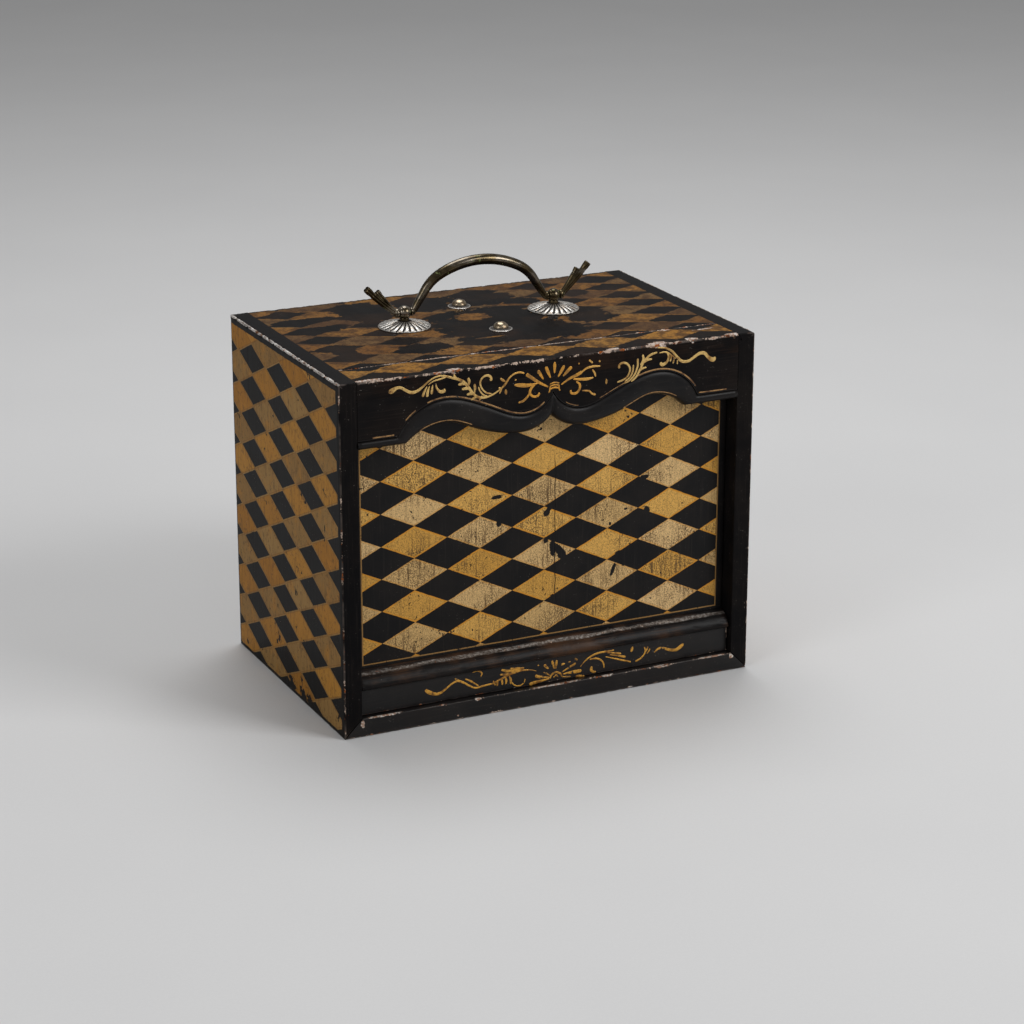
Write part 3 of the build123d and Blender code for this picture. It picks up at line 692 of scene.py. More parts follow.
bead[..., 1] += 0.10 * unevenness(bead, 38.0, 31) * (bead_section[None, :, 1] < 6.0) + 0.05
faces = run_faces(len(bead), len(bead_section))
bead_finish = lacquer("black_lacquer_bead", (0.05, 0.9, 0.6), light=0.2, gloss=0.22, shine=0.16)
piece = put("apron_bead", bead.reshape(-1, 3), faces, bead_finish, flat=2, marks=np.zeros(bead.size // 3))
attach(piece, "case")
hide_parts("apron_moulding")


# Gilding: scrolls, leaves and a spread palmette laid on the apron and the foot rail in thick gold
# paint with a loaded brush, so that each stroke stands a little proud and its ends are rounded.
def strokes(name, lines, face, body, finish, lift=0.13):
    """Brush strokes on an upright face: each line of (across, height, width) is rounded off by a
    Catmull-Rom curve, and a low arched section of that width is carried along it."""
    across = np.array([-1.0, -0.75, -0.35, 0.0, 0.35, 0.75, 1.0])
    arch = lift * (1 - across**2) ** 0.5
    places, faces, start = [], [], 0
    for line in lines:
        p = np.array(line, float)
        p = np.vstack([2 * p[0] - p[1], p, 2 * p[-1] - p[-2]])
        t = np.linspace(0, 1, 9)[:-1, None]
        bits = [
            0.5 * (2 * b + (c - a) * t + (2 * a - 5 * b + 4 * c - d) * t**2 + (3 * b - a - 3 * c + d) * t**3)
            for a, b, c, d in zip(p, p[1:], p[2:], p[3:])
        ]
        path = np.vstack([*bits, p[-2]])
        run = np.r_[0, np.cumsum(np.linalg.norm(np.diff(path[:, :2], axis=0), axis=1))]
        fine = np.r_[run[0], np.linspace(run[0] + 0.05, run[-1] - 0.05, max(int(run[-1] / 0.45), 7)), run[-1]]
        path = np.column_stack([np.interp(fine, run, path[:, k]) for k in range(3)])
        half = np.maximum(path[:, 2] * 1.12, 0.15) / 2
        close = np.minimum(fine, run[-1] - fine)
        half = half * np.sqrt(np.clip(1 - (1 - np.minimum(close / np.maximum(half, 0.1), 1)) ** 2, 0, 1)) + 0.01
        way = np.gradient(path[:, :2], axis=0)
        way /= np.linalg.norm(way, axis=1)[:, None]
        sideways = np.column_stack([-way[:, 1], way[:, 0]])
        spots = path[:, None, :2] + sideways[:, None, :] * (half[:, None] * across)[..., None]
        out = np.broadcast_to(face - 0.015 - arch[None, :] * np.minimum(half / 0.5, 1)[:, None], spots.shape[:2])
        places.append(np.stack([spots[..., 0], out, spots[..., 1]], -1).reshape(-1, 3))
        faces.append(net(len(path), len(across), round_columns=False)[:, ::-1] + start)
        start += len(path) * len(across)
    places, faces = np.concatenate(places), np.concatenate(faces)
    mesh = bpy.data.meshes.new(name)
    mesh.from_pydata(places / 1000.0, [], faces)
    mesh.polygons.foreach_set("use_smooth", np.ones(len(faces), bool))
    mesh.materials.append(finish)
    made = bpy.data.objects.new(name, mesh)
    bpy.context.scene.collection.objects.link(made)
    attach(made, body)
    return made


def gold_paint(name, bare, bright, dull, middle=None):
    """Gold brushed on in a size: bright where thick, brown where thin, rubbed down to the black, and
    of the colour middle towards the centre."""
    made, place = new_finish(name)
    body = place.cloud(5.0, 4.0)
    if middle:
        bright = (1 - (abs(place.parts()[0]) + body * 40.0).ease(35.0, 75.0)).mix(bright, middle)
    colour = body.ease(0.32, 0.56).mix(dull, bright)
    colour = place.cloud(1.0, 3.0).ease(0.55, 0.68).mix(colour, dull)
    gone = (place.cloud(2.2, 4.0, 0.65) + (place.cloud(30.0) - 0.5) * 0.5).ease(bare, bare + 0.05)
    colour = gone.mix(colour, (0.014, 0.010, 0.008, 1))
    return lay_on(made, place, colour, 0.42 + gone * 0.1, 0.45 * (1 - gone), body + place.cloud(0.5, 2.0), 0.05)


def drawn(lines, left, top, unit=1.0):
    """Strokes drawn as (across, down, width) from a point at left and top, put in their place. Across
    and down count in steps of unit mm, the width is in mm."""
    return [[(unit * a + left, top - unit * b, w) for a, b, w in line] for line in lines]


apron_scrolls = [
    [(35, 9.3, 2.2), (37.6, 8.2, 3), (40.5, 6.9, 1.9), (43.5, 7, 1.5), (46.8, 9, 1.6), (50.5, 11, 1.8),
     (54.5, 10.7, 1.7), (58.5, 8.4, 1.3), (62.5, 5.4, 1), (67, 3.1, 0.9), (71.5, 2.5, 1), (75.5, 3.4, 1.2),
     (80, 5, 1.4), (84.5, 6.6, 1.5), (88, 9, 1.8), (91, 12.6, 1.7), (94, 16.8, 1.5), (98, 20, 1.4), (103, 20.8, 1.2),
     (108.5, 19.4, 1), (113.5, 16.8, 0.8)],
    [(61.8, 8.4, 0.5), (60, 11.4, 1.3), (58.6, 15, 1.6)],
    [(63.6, 8.2, 0.5), (62.3, 11.6, 1.5), (61.7, 15.4, 1.7)],
    [(65.8, 7.8, 0.5), (65.2, 11, 1.4), (65, 14, 1.4)],
    [(67.6, 6.8, 0.6), (68.6, 10.2, 1.1), (70.8, 12.9, 1.6), (73.4, 12.9, 2.2), (74.2, 11.5, 1.6)],
    [(62.4, 7.4, 0.5), (66.4, 5.4, 0.8), (71, 4.6, 0.9), (75.4, 3.8, 0.6)],
    [(80.4, 2.8, 1.2), (81.6, 4.4, 1), (83.4, 6.2, 0.6)],
    [(83.6, 9.9, 1.4), (86.6, 9.7, 1.6), (88.8, 10.4, 0.7)],
    [(86.2, 13.3, 1.2), (89.4, 13.1, 1.7), (92, 14, 0.7)],
    [(89.6, 17.4, 1.2), (92.6, 17, 1.6), (95.4, 18.2, 0.7)],
    [(92.6, 21.2, 1), (95.4, 20, 1.4), (98.4, 20, 0.7)],
    [(98.4, 22.4, 1), (99.6, 20.8, 1.2), (100.6, 19.4, 0.6)],
    [(90.6, 6.2, 1.6), (91.4, 8.8, 1.7), (90.8, 11.8, 0.7)],
    [(95.2, 10.8, 1.4), (95.6, 13.6, 1.5), (95.2, 17, 0.7)],
    [(98, 13.2, 0.8), (99, 15.8, 0.9), (101.4, 18.8, 0.8), (104.6, 20.2, 0.5)],
    [(107, 10.2, 1.9), (106.8, 7.6, 1.5), (104.2, 6.2, 1.3), (101, 7.2, 1.1), (99.3, 10.2, 1.1), (100.3, 14.2, 1),
     (103.4, 17.6, 0.9), (107.4, 19, 0.7)],
    [(113.6, 9.2, 1), (115.2, 10.6, 1.4), (117.4, 12, 0.7)],
    [(112.4, 15.4, 1.1), (114.2, 16.6, 1.1), (113, 19.6, 0.9)],
    [(117.5, 17.2, 0.6), (117.6, 19, 1.7), (117.9, 20.8, 0.8)],
    [(113.2, 17.2, 0.8), (117.4, 13.4, 1.3), (120, 9.9, 1.1), (123.6, 7.5, 1), (127.6, 7, 1), (131, 8, 0.9)],
    [(124.3, 11.2, 1.2), (124.9, 12.2, 1.2)],
    [(132.2, 8.7, 2.2), (135.6, 11.2, 2), (139.6, 14.2, 1.8), (144, 17, 1.3), (148.4, 19.4, 0.8)],
    [(123.6, 15, 1), (127.6, 15.6, 2.3), (132.2, 16.4, 2.3), (137, 16.3, 1.3), (141, 15.9, 0.6)],
    [(139, 16.2, 0.9), (136, 18.6, 1.6), (135, 21.8, 1.5), (137.2, 24.4, 1.3), (140.4, 24.6, 1.4), (142, 22.4, 1.4)],
    [(135, 20.4, 0.8), (133.6, 23.6, 1.2), (130.4, 26.4, 1.4), (126.6, 27.4, 1)],
    [(140.6, 7.2, 2), (142.4, 10, 1.8), (144.8, 13.8, 0.7)],
    [(146.4, 5.2, 1.6), (147.8, 8.6, 2), (149.9, 13.4, 0.8)],
    [(152.9, 3, 1.2), (152.9, 6, 1.9), (152.8, 10.6, 0.8)],
    [(160, 6, 1.5), (158.2, 9, 2), (155.4, 13.4, 0.8)],
    [(165.4, 7.6, 2), (162.4, 10.2, 2), (159, 13.4, 0.9)],
    [(173, 12, 1.8), (169, 13.8, 2), (163.6, 15.6, 1.4), (157.6, 19, 0.8)],
    [(149.4, 17.6, 0.7), (152.8, 16.9, 0.8), (156.4, 17.7, 0.7)],
    [(149.2, 19.2, 0.7), (152.8, 18.5, 0.8), (156.6, 19.3, 0.7)],
    [(149, 21, 0.8), (152.8, 20.3, 0.9), (156.6, 21.1, 0.8)],
    [(148.6, 23.4, 0.8), (149.4, 21.6, 0.9), (149.6, 19, 0.8)],
    [(157, 23, 0.8), (156.2, 21.4, 0.9), (156, 19, 0.8)],
    [(166.4, 16.2, 0.7), (171.6, 17, 1.5), (177, 17.4, 1.7), (181.4, 17, 0.7)],
    [(168.6, 18.2, 0.8), (171.2, 20.2, 1.4), (171.3, 23.4, 1.5), (168.8, 26, 1.5), (165.4, 25.8, 1.3),
     (164.6, 23.4, 1.3)],
    [(173, 24.9, 0.7), (178.2, 25.8, 0.9), (180.4, 27.8, 1), (183.2, 29, 1.3)],
    [(172, 12.8, 0.9), (176, 10.2, 1.2), (181, 9.4, 1.2), (186.4, 9.8, 0.8)],
    [(178, 4.6, 0.9), (180.8, 7, 1.2)],
    [(185.4, 5.8, 1.2), (186.4, 7, 1)],
    [(180.6, 11.4, 0.8), (182.2, 14, 1.2), (183, 16.6, 0.8)],
    [(170.2, 5.8, 1), (171, 6.6, 0.9)],
    [(191, 19.2, 0.8), (191, 21, 1.3), (191, 22.8, 0.8)],
    [(200.4, 13.2, 1.6), (200.5, 10.7, 1.3), (203.4, 9.6, 1.3), (206.8, 11, 1.2), (208.6, 14.6, 1.2),
     (207.2, 18.6, 1.1), (203.8, 21.2, 1.1), (199, 22.4, 0.8)],
    [(211, 12, 1), (210.6, 16, 1.1), (208.6, 20, 1), (204.6, 22.8, 0.8)],
    [(214.2, 8, 1.3), (214.2, 13, 1.2), (212, 18.6, 1.1), (207.8, 22.6, 0.9), (203.8, 23.8, 0.6)],
    [(218, 5.8, 1.2), (218.4, 9.2, 1.5), (216.2, 12.8, 0.8)],
    [(225, 9.6, 0.9), (221.6, 9.8, 1.4), (218.4, 11.6, 0.8)],
    [(221, 14.8, 0.8), (218, 15.2, 1.2), (215.4, 17, 0.7)],
    [(209.4, 23.2, 0.9), (213, 20.6, 1.3), (216, 15.8, 1.4), (218.8, 10.8, 1.4), (223.2, 6.9, 1.4), (228.8, 5.4, 1)],
    [(236, 5.8, 0.8), (237.5, 9.2, 1.3), (236.2, 12.8, 1.5), (233, 14.4, 2), (231, 12.8, 1.6)],
    [(238.8, 7.6, 0.7), (239.4, 10.2, 1.1), (238.6, 13, 1)],
    [(241.4, 10.2, 0.8), (241.4, 12.4, 1.1), (240.8, 14.6, 0.8)],
    [(244.2, 12.8, 0.7), (244.2, 15.4, 0.9)],
    [(230.4, 6, 0.6), (235.2, 6, 0.9), (239.4, 8.4, 0.8), (243, 11.4, 0.6)],
    [(229, 2.2, 0.7), (235, 3.2, 1), (240, 6, 1.3), (243.6, 10, 1.5), (247.4, 13.6, 1.7), (252.4, 14.2, 1.7),
     (257.2, 11.8, 1.7), (261, 9.9, 1.9), (264.8, 10.2, 2), (267.6, 13.2, 2), (271, 15.4, 2.8), (273.6, 14.2, 1.8)],
]
apron_gold = gold_paint(
    "gold_brushwork_apron", 0.64, (0.66, 0.44, 0.15, 1), (0.27, 0.13, 0.03, 1), (0.62, 0.29, 0.035, 1)
)
strokes("apron_gilding", drawn(apron_scrolls, -WIDE - 0.6, TALL), FRONT, "case", apron_gold)

# thin gold lines: one 1.7 mm above the bead's upper edge, broken where it is rubbed off, and one on the bead
above_edge, below_edge = 1.7, 2.4
line_gold = gold_paint("gold_line", 0.66, (0.36, 0.20, 0.075, 1), (0.12, 0.055, 0.02, 1))
high_line, low_line = [], []
for way, pieces_of_line in (
    (-1, ((6.0, 92.0, 0.8), (98.0, 106.5, 0.75), (112.0, 134.0, 0.8))),
    (1, ((9.0, 20.0, 0.35), (34.0, 60.0, 0.45), (62.0, 107.0, 0.85), (108.5, 132.0, 0.7))),
):
    above = np.column_stack([np.gradient(bead_edges[way][:, 1]), -np.gradient(bead_edges[way][:, 0])])
    followed = bead_edges[way] + above / np.linalg.norm(above, axis=1)[:, None] * above_edge
    for start, stop, wide in pieces_of_line:
        kept = followed[(followed[:, 0] > start) & (followed[:, 0] < stop)][::3]
        high_line.append([(way * a, TALL - b, wide) for a, b in kept])
strokes("apron_gold_line", high_line, FRONT, "case", line_gold, 0.08)
for way, start, stop in ((-1, 58.0, 96.0), (1, 52.0, 94.0)):
    kept = apron_edges[way][(apron_edges[way][:, 0] > start) & (apron_edges[way][:, 0] < stop)][::3]
    low_line.append([(way * a, TALL - b + below_edge, 0.5) for a, b in kept])
strokes("bead_gold_line", low_line, FRONT + 0.25, "case", line_gold, 0.08)


# Panel: one thin board that lifts out, its face all gold lozenges in two tones on black, with fine
# orange outlines. A crack runs down near the middle and flakes of lacquer are lost along it.
def panel_leaf(place):
    """Gold leaf of the panel: bright yellow and dull pale lozenges, stippled and streaked, inside a
    thin gold line, with the flakes and the crack."""
    x, z = place.parts()[::2]
    leaf, warm, inside, own = lozenges(place, x, z - 170.0, *PANEL_NET)[:4]
    inside = inside + (place.cloud(5.0, 3.0) - 0.5) * 1.1
    yellow = own.mix((0.600, 0.315, 0.060, 1), (0.760, 0.440, 0.115, 1))
    pale_gold = own.mix((0.600, 0.385, 0.150, 1), (0.780, 0.530, 0.250, 1))
    gold = warm.mix(pale_gold, yellow)
    streaks = (place * (1.0, 1.0, 0.05)).cloud(1.7, 4.0, 0.6)
    worn = place.cloud(34.0, 3.0).ease(0.42, 0.64)
    stipple = place.cloud(0.75, 2.0, 0.5)
    gold = (stipple.ease(0.48, 0.58) * (0.35 + 0.5 * worn)).mix(gold, (0.100, 0.060, 0.026, 1))
    gold = (streaks.ease(0.52, 0.62) * (0.20 + 0.65 * worn)).mix(gold, (0.100, 0.055, 0.024, 1))
    fine = (place * (1.0, 1.0, 0.3)).cloud(0.5, 2.0).ease(0.52, 0.60)
    gold = (fine * (0.25 + 0.45 * worn)).mix(gold, (0.085, 0.050, 0.024, 1))
    outline = (1 - inside.ease(0.75, 1.35)) * leaf * place.cloud(8.0).ease(0.30, 0.42)
    gold = (outline * (0.40 + 0.5 * warm)).mix(gold, (0.60, 0.26, 0.030, 1))
    ragged = (place.cloud(3.0, 4.0, 0.7) - 0.5) * 2.6
    flakes = []
    for a, b, wide, high, lean in (
        (6.5, 106.4, 2.6, 6.5, 0), (12.5, 101.5, 3.4, 7, 0.5), (2.3, 132.2, 2.6, 3.2, -0.4), (1.2, 112.4, 1.8, 2.2, 0),
        (52, 83.4, 1.6, 5.2, -0.35), (56.5, 95, 3, 1.8, 0), (77.4, 122, 2.6, 4.2, 0), (-35, 147.8, 4, 1.5, -0.5),
        (75.5, 146.5, 3, 2, 0), (-33.5, 129, 2.2, 2.4, 0), (61.5, 126, 1.4, 0.9, -0.4), (49.6, 117, 1, 1.2, 0),
    ):
        du, dv = (x - a + (z - b) * lean) / wide, (z - b) / high
        flakes.append(1 - (du * du + dv * dv).maths("SQRT") + ragged * 0.5)
    lost = largest(flakes)
    few = (place.cloud(2.4, 3.0, 0.6) + (place.cloud(45.0) - 0.5) * 0.35).ease(0.685, 0.70)
    bare = lost.ease(-0.05, 0.1).most(few)
    wander = (place * (0.1, 0.1, 1.0)).cloud(13.0, 3.0) - 0.5
    crack = abs(x - 8.0 - wander * 3.0)
    crack = (1 - crack.ease(0.10, 0.42)) * z.ease(66.0, 74.0) * (1 - z.ease(160.0, 176.0))
    square = (PANEL_HALF - 5.0 - abs(x)).least(z - (MOULDING_TOP + 1.9)) + (place.cloud(18.0) - 0.5) * 0.5
    line = (1 - abs(square - 0.3).ease(0.30, 0.52)) * streaks.ease(0.3, 0.42)
    gold = line.mix(gold, (0.30, 0.165, 0.055, 1))
    leaf_on = (leaf * inside.ease(-0.15, 0.15) * square.ease(0.4, 0.6)).most(line)
    leaf_on = leaf_on * (1 - bare) * (1 - crack) * (1 - stipple.ease(0.64, 0.70) * 0.7)
    return leaf_on, gold, bare * 0.4 + crack * 3.0


panel_finish = lacquer("lozenge_lacquer_panel", up_grain, panel_leaf, light=0.4)
foot, head = 7.0, 212.0
panel_corners = ((PANEL_FACE, foot), (PANEL_BACK, foot), (PANEL_BACK, head), (PANEL_FACE, head))
panel_shape = [(a, b, 0.3, 0.5) for a, b in panel_corners]
piece = board(
    "panel_plank",
    (-PANEL_HALF, PANEL_HALF),
    "yzx",
    lambda x: panel_shape,
    panel_finish,
    ends=(0.3, 0.3),
    end_rub=(0.4, 0.4),
    seed=41,
)
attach(piece, "front_panel")
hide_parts("panel_board")


# Foot rail and moulding: a thick lacquered rail across the panel's foot, gilded like the apron, and
# over it a moulding run with a plane, whose overhanging nose is the grip. Brown shows through where
# fingers rub. The rail's own finish stands with those of the case, as it is the bottom board's too.
def ridge_highlight_and_wear(place):
    """The moulding's upper ridge: a flecked pale grey band painted along it, partly a highlight and partly wear where
    the panel is pulled and wiped.
    """
    y, z = place.parts()[1:]
    streak = (place * (0.12, 1.0, 1.0)).cloud(3.0, 4.0, 0.65)
    off = abs(z - (MOULDING_TOP - 2.1) + (place.cloud(22.0) - 0.5) * 1.6)
    ridge = 1 - (off - (streak - 0.5) * 1.2).ease(0.15, 1.0)
    ridge = ridge * y.ease(FRONT + 3.0, FRONT + 6.0) * (0.35 + 0.65 * streak.ease(0.40, 0.56))
    ridge = ridge * (1 - y.ease(PANEL_FACE - 1.5, PANEL_FACE - 0.7))
    # painted highlight and wear: the pale grey laid along the ridge
    grey = place.cloud(1.6, 3.0).ease(0.40, 0.66).mix((0.130, 0.105, 0.088, 1), (0.40, 0.37, 0.34, 1))
    return ridge, grey, streak * 0.1


foot_finish = lacquer("black_lacquer_foot", across_grain, ridge_highlight_and_wear, light=0.5, brown=1.0, gloss=0.20, shine=0.09)
foot = 13.0
foot_shape = [(RAIL_FACE, foot, 0.7, 0.8), (PANEL_FACE, foot, 0.1, 0)]
foot_shape += [(PANEL_FACE, RAIL_TOP, 0.1, 0), (RAIL_FACE, RAIL_TOP, 0.3, 0.5)]
piece = board(
    "foot_rail_plank", (-PANEL_HALF, PANEL_HALF), "yzx", lambda x: foot_shape, rail_finish, ends=(0.4, 0.4), seed=51
)
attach(piece, "front_panel")
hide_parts("foot_rail")


def arc_through(start, middle, end, count):
    """Points on the circle through three points, from start to end."""
    (ax, ay), (bx, by), (cx, cy) = start, middle, end
    d = 2 * (ax * (by - cy) + bx * (cy - ay) + cx * (ay - by))
    a2, b2, c2 = ax**2 + ay**2, bx**2 + by**2, cx**2 + cy**2
    ux = (a2 * (by - cy) + b2 * (cy - ay) + c2 * (ay - by)) / d
    uy = (a2 * (cx - bx) + b2 * (ax - cx) + c2 * (bx - ax)) / d
    turns = np.unwrap([np.arctan2(y - uy, x - ux) for x, y in (start, middle, end)])
    sweep, radius = np.interp(np.linspace(0, 2, count), [0, 1, 2], turns), np.hypot(ax - ux, ay - uy)
    return np.column_stack([ux + radius * np.cos(sweep), uy + radius * np.sin(sweep)])


ridge, nose, lip = (FRONT + 10.6, 41.3), (FRONT + 2.0, 33.1), (FRONT + 4.2, RAIL_TOP)
swell = np.concatenate([
    arc_through((PANEL_FACE, MOULDING_TOP), (FRONT + 11.7, 42.3), ridge, 6),
    arc_through(ridge, (FRONT + 5.3, 38.5), nose, 17)[1:],
    arc_through(nose, (FRONT + 2.5, 31.5), lip, 7)[1:],
    np.array([(FRONT + 6.0, RAIL_TOP + 0.02), (PANEL_FACE, RAIL_TOP + 0.02)]),
])
close = np.array([138.0, 137.9, 137.4])  # stations near the ends, where the section is drawn in
stations = np.r_[-close, np.arange(-136.0, 136.1, 1.7), close[::-1]]
shrink = np.r_[0.3, 0.12, np.zeros(len(stations) - 4), 0.12, 0.3]
core = np.array([-88.5, 35.0])
inwards = (core - swell) / np.linalg.norm(core - swell, axis=1)[:, None]
grid = swell[None] + inwards[None] * shrink[:, None, None]
moulding = np.stack([np.broadcast_to(stations[:, None], grid.shape[:2]), grid[..., 0], grid[..., 1]], -1)
proud = np.r_[np.linspace(0.0, 0.6, 6), np.linspace(0.6, 1.0, 16), np.linspace(1, 0.8, 6), 0.0, 0.0]
chips = unevenness(moulding, 11.0, 61) + 0.6 * unevenness(moulding, 3.5, 62)
moulding[..., 1] += proud * (0.05 + 0.22 * np.clip(chips - 0.3, 0, 1.5))
# rub marks peak on the upper ridge, where the finish paints a pale line that is partly wear and partly a painted
# highlight
polish = 0.78 * np.exp(-(((np.arange(len(swell)) - 8.0) / 2.6) ** 2)) + 0.3 * proud**6
marks = np.broadcast_to(polish, moulding.shape[:2]).ravel()
faces = run_faces(len(moulding), len(swell))
piece = put("panel_swell_moulding", moulding.reshape(-1, 3), faces, foot_finish, flat=2, marks=marks)
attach(piece, "front_panel")
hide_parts("panel_moulding")

foot_scrolls = [
    [(85, 192, 1.6), (110, 212, 2.4), (145, 229, 1.9), (180, 231, 1.7), (215, 214, 1.3), (258, 186, 1.1),
     (298, 172, 1.3), (335, 186, 1.3), (375, 214, 1.1), (420, 238, 1), (470, 234, 1.1), (530, 230, 1)],
    [(282, 154, 0.8), (300, 164, 1.2), (318, 178, 0.7)],
    [(352, 168, 0.7), (385, 186, 1.1), (412, 206, 0.9), (440, 228, 0.7)],
    [(400, 134, 0.5), (436, 130, 0.8), (463, 148, 1), (456, 170, 0.7)],
    [(594, 150, 1.2), (640, 166, 1.8), (690, 170, 1.8), (746, 166, 0.8)],
    [(655, 152, 1), (700, 160, 1.5), (750, 164, 0.8)],
    [(585, 180, 0.9), (625, 186, 1.4), (668, 186, 0.8)],
    [(530, 232, 0.8), (580, 214, 1.1), (630, 196, 1.2), (690, 182, 1.2), (740, 178, 0.9), (800, 186, 0.5),
     (832, 198, 0.4)],
    [(540, 212, 0.9), (546, 230, 1.2), (556, 246, 0.9)],
    [(565, 212, 0.9), (568, 232, 1.3), (566, 252, 0.9)],
    [(592, 206, 0.9), (600, 228, 1.3), (600, 250, 0.9)],
    [(622, 202, 0.9), (628, 226, 1.4), (624, 250, 0.9)],
    [(648, 200, 0.9), (658, 226, 1.5), (658, 256, 1)],
    [(664, 244, 0.8), (684, 266, 0.8), (716, 276, 0.7), (746, 262, 0.7), (756, 238, 0.6)],
    [(925, 266, 0.9), (936, 242, 1.2), (965, 229, 1.3), (996, 242, 1.2), (1008, 266, 0.9)],
    [(948, 262, 0.8), (965, 248, 0.9), (982, 262, 0.8)],
    [(940, 148, 1.5), (947, 174, 1.5), (956, 204, 0.7)],
    [(971, 150, 1.5), (970, 176, 1.4), (966, 206, 0.7)],
    [(886, 164, 1.7), (898, 180, 1.7), (916, 198, 0.7)],
    [(1000, 186, 1.4), (1014, 184, 1.2), (1030, 182, 0.7)],
    [(1050, 182, 1.2), (1068, 174, 1)],
    [(1094, 162, 1.2), (1116, 172, 1.2)],
    [(1104, 192, 1.4), (1060, 212, 1.2), (1006, 236, 0.6)],
    [(1144, 248, 2), (1104, 248, 2.2), (1054, 248, 1.4), (1014, 250, 0.6)],
    [(784, 278, 2.2), (830, 272, 2), (880, 268, 1.2), (920, 264, 0.6)],
    [(824, 226, 1.6), (846, 238, 1.8), (884, 248, 1.3), (924, 256, 0.6)],
    [(880, 214, 0.6), (900, 226, 0.9), (926, 244, 0.6)],
    [(1010, 266, 0.6), (1040, 272, 0.9), (1070, 274, 0.5)],
    [(1100, 280, 1.2), (1130, 282, 1.5), (1166, 288, 0.8)],
    [(842, 160, 1), (850, 168, 0.8)],
    [(1134, 222, 0.5), (1160, 196, 0.7), (1186, 176, 1), (1226, 158, 1.2), (1276, 150, 1.1), (1330, 152, 1.2),
     (1370, 150, 0.9)],
    [(1200, 184, 0.8), (1250, 186, 1.1), (1284, 206, 1.1), (1298, 232, 0.9), (1300, 258, 0.6)],
    [(1322, 160, 0.6), (1370, 170, 0.9), (1420, 182, 1.2)],
    [(1340, 176, 0.6), (1396, 192, 0.9), (1452, 210, 1.5)],
    [(1310, 184, 0.5), (1370, 206, 0.7), (1430, 228, 1), (1490, 250, 0.9)],
    [(1214, 232, 1.2), (1212, 256, 1.9), (1228, 272, 1.3), (1246, 272, 0.7)],
    [(1500, 148, 0.8), (1496, 166, 1.8), (1490, 184, 1)],
    [(1520, 252, 1.2), (1556, 238, 1.2), (1584, 212, 1), (1590, 186, 0.9), (1582, 164, 0.7)],
    [(1608, 166, 0.9), (1602, 184, 1), (1592, 200, 0.6)],
    [(1624, 182, 0.8), (1614, 200, 0.8), (1600, 214, 0.5)],
    [(1652, 216, 0.6), (1684, 193, 1.3), (1720, 197, 1.5), (1764, 214, 1.7), (1806, 222, 1.9), (1838, 208, 2.4),
     (1862, 190, 1.6)],
]
foot_gold = gold_paint("gold_brushwork_foot", 0.61, (0.68, 0.345, 0.05, 1), (0.24, 0.10, 0.015, 1))
strokes("foot_gilding", drawn(foot_scrolls, 50.3 - WIDE, 44.7, 0.11), RAIL_FACE, "front_panel", foot_gold)


# Inside: strips at the sides, a guide under the top and two battens stiffen and stop the panel. They
# are softwood brushed with one thin coat of dark lacquer; every peg is a bamboo pin.
def thin_coat(name, squeeze):
    """One coat of dark lacquer on softwood: the grain's ridges stay brown and matt."""
    made, place = new_finish(name)
    rings = (place * squeeze).cloud(1.3, 5.0, 0.6)
    fibre = (place * squeeze).cloud(0.35, 3.0)
    colour = rings.ease(0.38, 0.66).mix((0.016, 0.011, 0.009, 1), (0.070, 0.036, 0.019, 1))
    colour = (fibre.ease(0.5, 0.7) * 0.6).mix(colour, (0.012, 0.009, 0.008, 1))
    return lay_on(made, place, colour, 0.50 + rings * 0.3, 0.0, rings + fibre * 0.5, 0.10)


def coat(label, finish):
    """Give a piece of the frame its finish in place of the one it came with."""
    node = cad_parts[label]
    node.data.materials.clear()
    node.data.materials.append(finish)


bamboo, place = new_finish("bamboo_pins")
strands = (place * (0.06, 1.0, 1.0)).cloud(0.28, 3.0)
dots = place.cloud(0.3, 1.0).ease(0.6, 0.66)
colour = dots.mix(strands.mix((0.30, 0.19, 0.085, 1), (0.52, 0.37, 0.18, 1)), (0.16, 0.085, 0.03, 1))
lay_on(bamboo, place, colour, 0.45 + strands * 0.25, 0.0, strands, 0.05)
upright_coat, level_coat = thin_coat("thin_lacquer_upright", up_grain), thin_coat("thin_lacquer_level", across_grain)
for label, finish in (
    ("stop_strip_left", upright_coat),
    ("stop_strip_right", upright_coat),
    ("top_guide", level_coat),
    ("panel_batten_lower", level_coat),
    ("panel_batten_upper", level_coat),
    ("case_pegs", bamboo),
    ("batten_pegs", bamboo),
):
    coat(label, finish)


# Rosettes and roves: chrysanthemum washers of thin silvered copper, raised in a die and filed to
# rounded petals whose valleys have gone black; flat roves of the same copper take the clinch inside.
def silver(name, colour_bright, colour_worn, valley):
    """Silvered copper: polished high places, warm where the silver is thin, black tarnish in the low."""
    made, place = new_finish(name)
    low = place.node("ShaderNodeAttribute", {}, out=2, attribute_name="rub")
    thin = place.cloud(4.0, 4.0)
    colour = thin.ease(0.48, 0.68).mix(colour_bright, colour_worn)
    dark = (low + (place.cloud(1.2, 3.0) - 0.5) * 0.35).ease(0.19, 0.44) * valley
    colour = dark.mix(colour, (0.020, 0.016, 0.014, 1))
    scratch = (place * (1.0, 0.15, 0.4)).cloud(0.30, 3.0)
    rough = 0.24 + thin * 0.16 + dark * 0.35
    return lay_on(made, place, colour, rough, 0.92 - dark * 0.5, scratch + thin * 0.6, 0.03)


rosette_silver = silver("silvered_copper_petals", (0.70, 0.675, 0.63, 1), (0.55, 0.46, 0.37, 1), 1.0)
AXIS_Y, AXIS_Z, PIVOT = 16.6, 252.4, 56.3  # the handle's axis, and an eye's distance from the middle
PETALS, ROSETTE, BORE = 24, 18.0, 2.05  # petals, outer radius and bore of a rosette


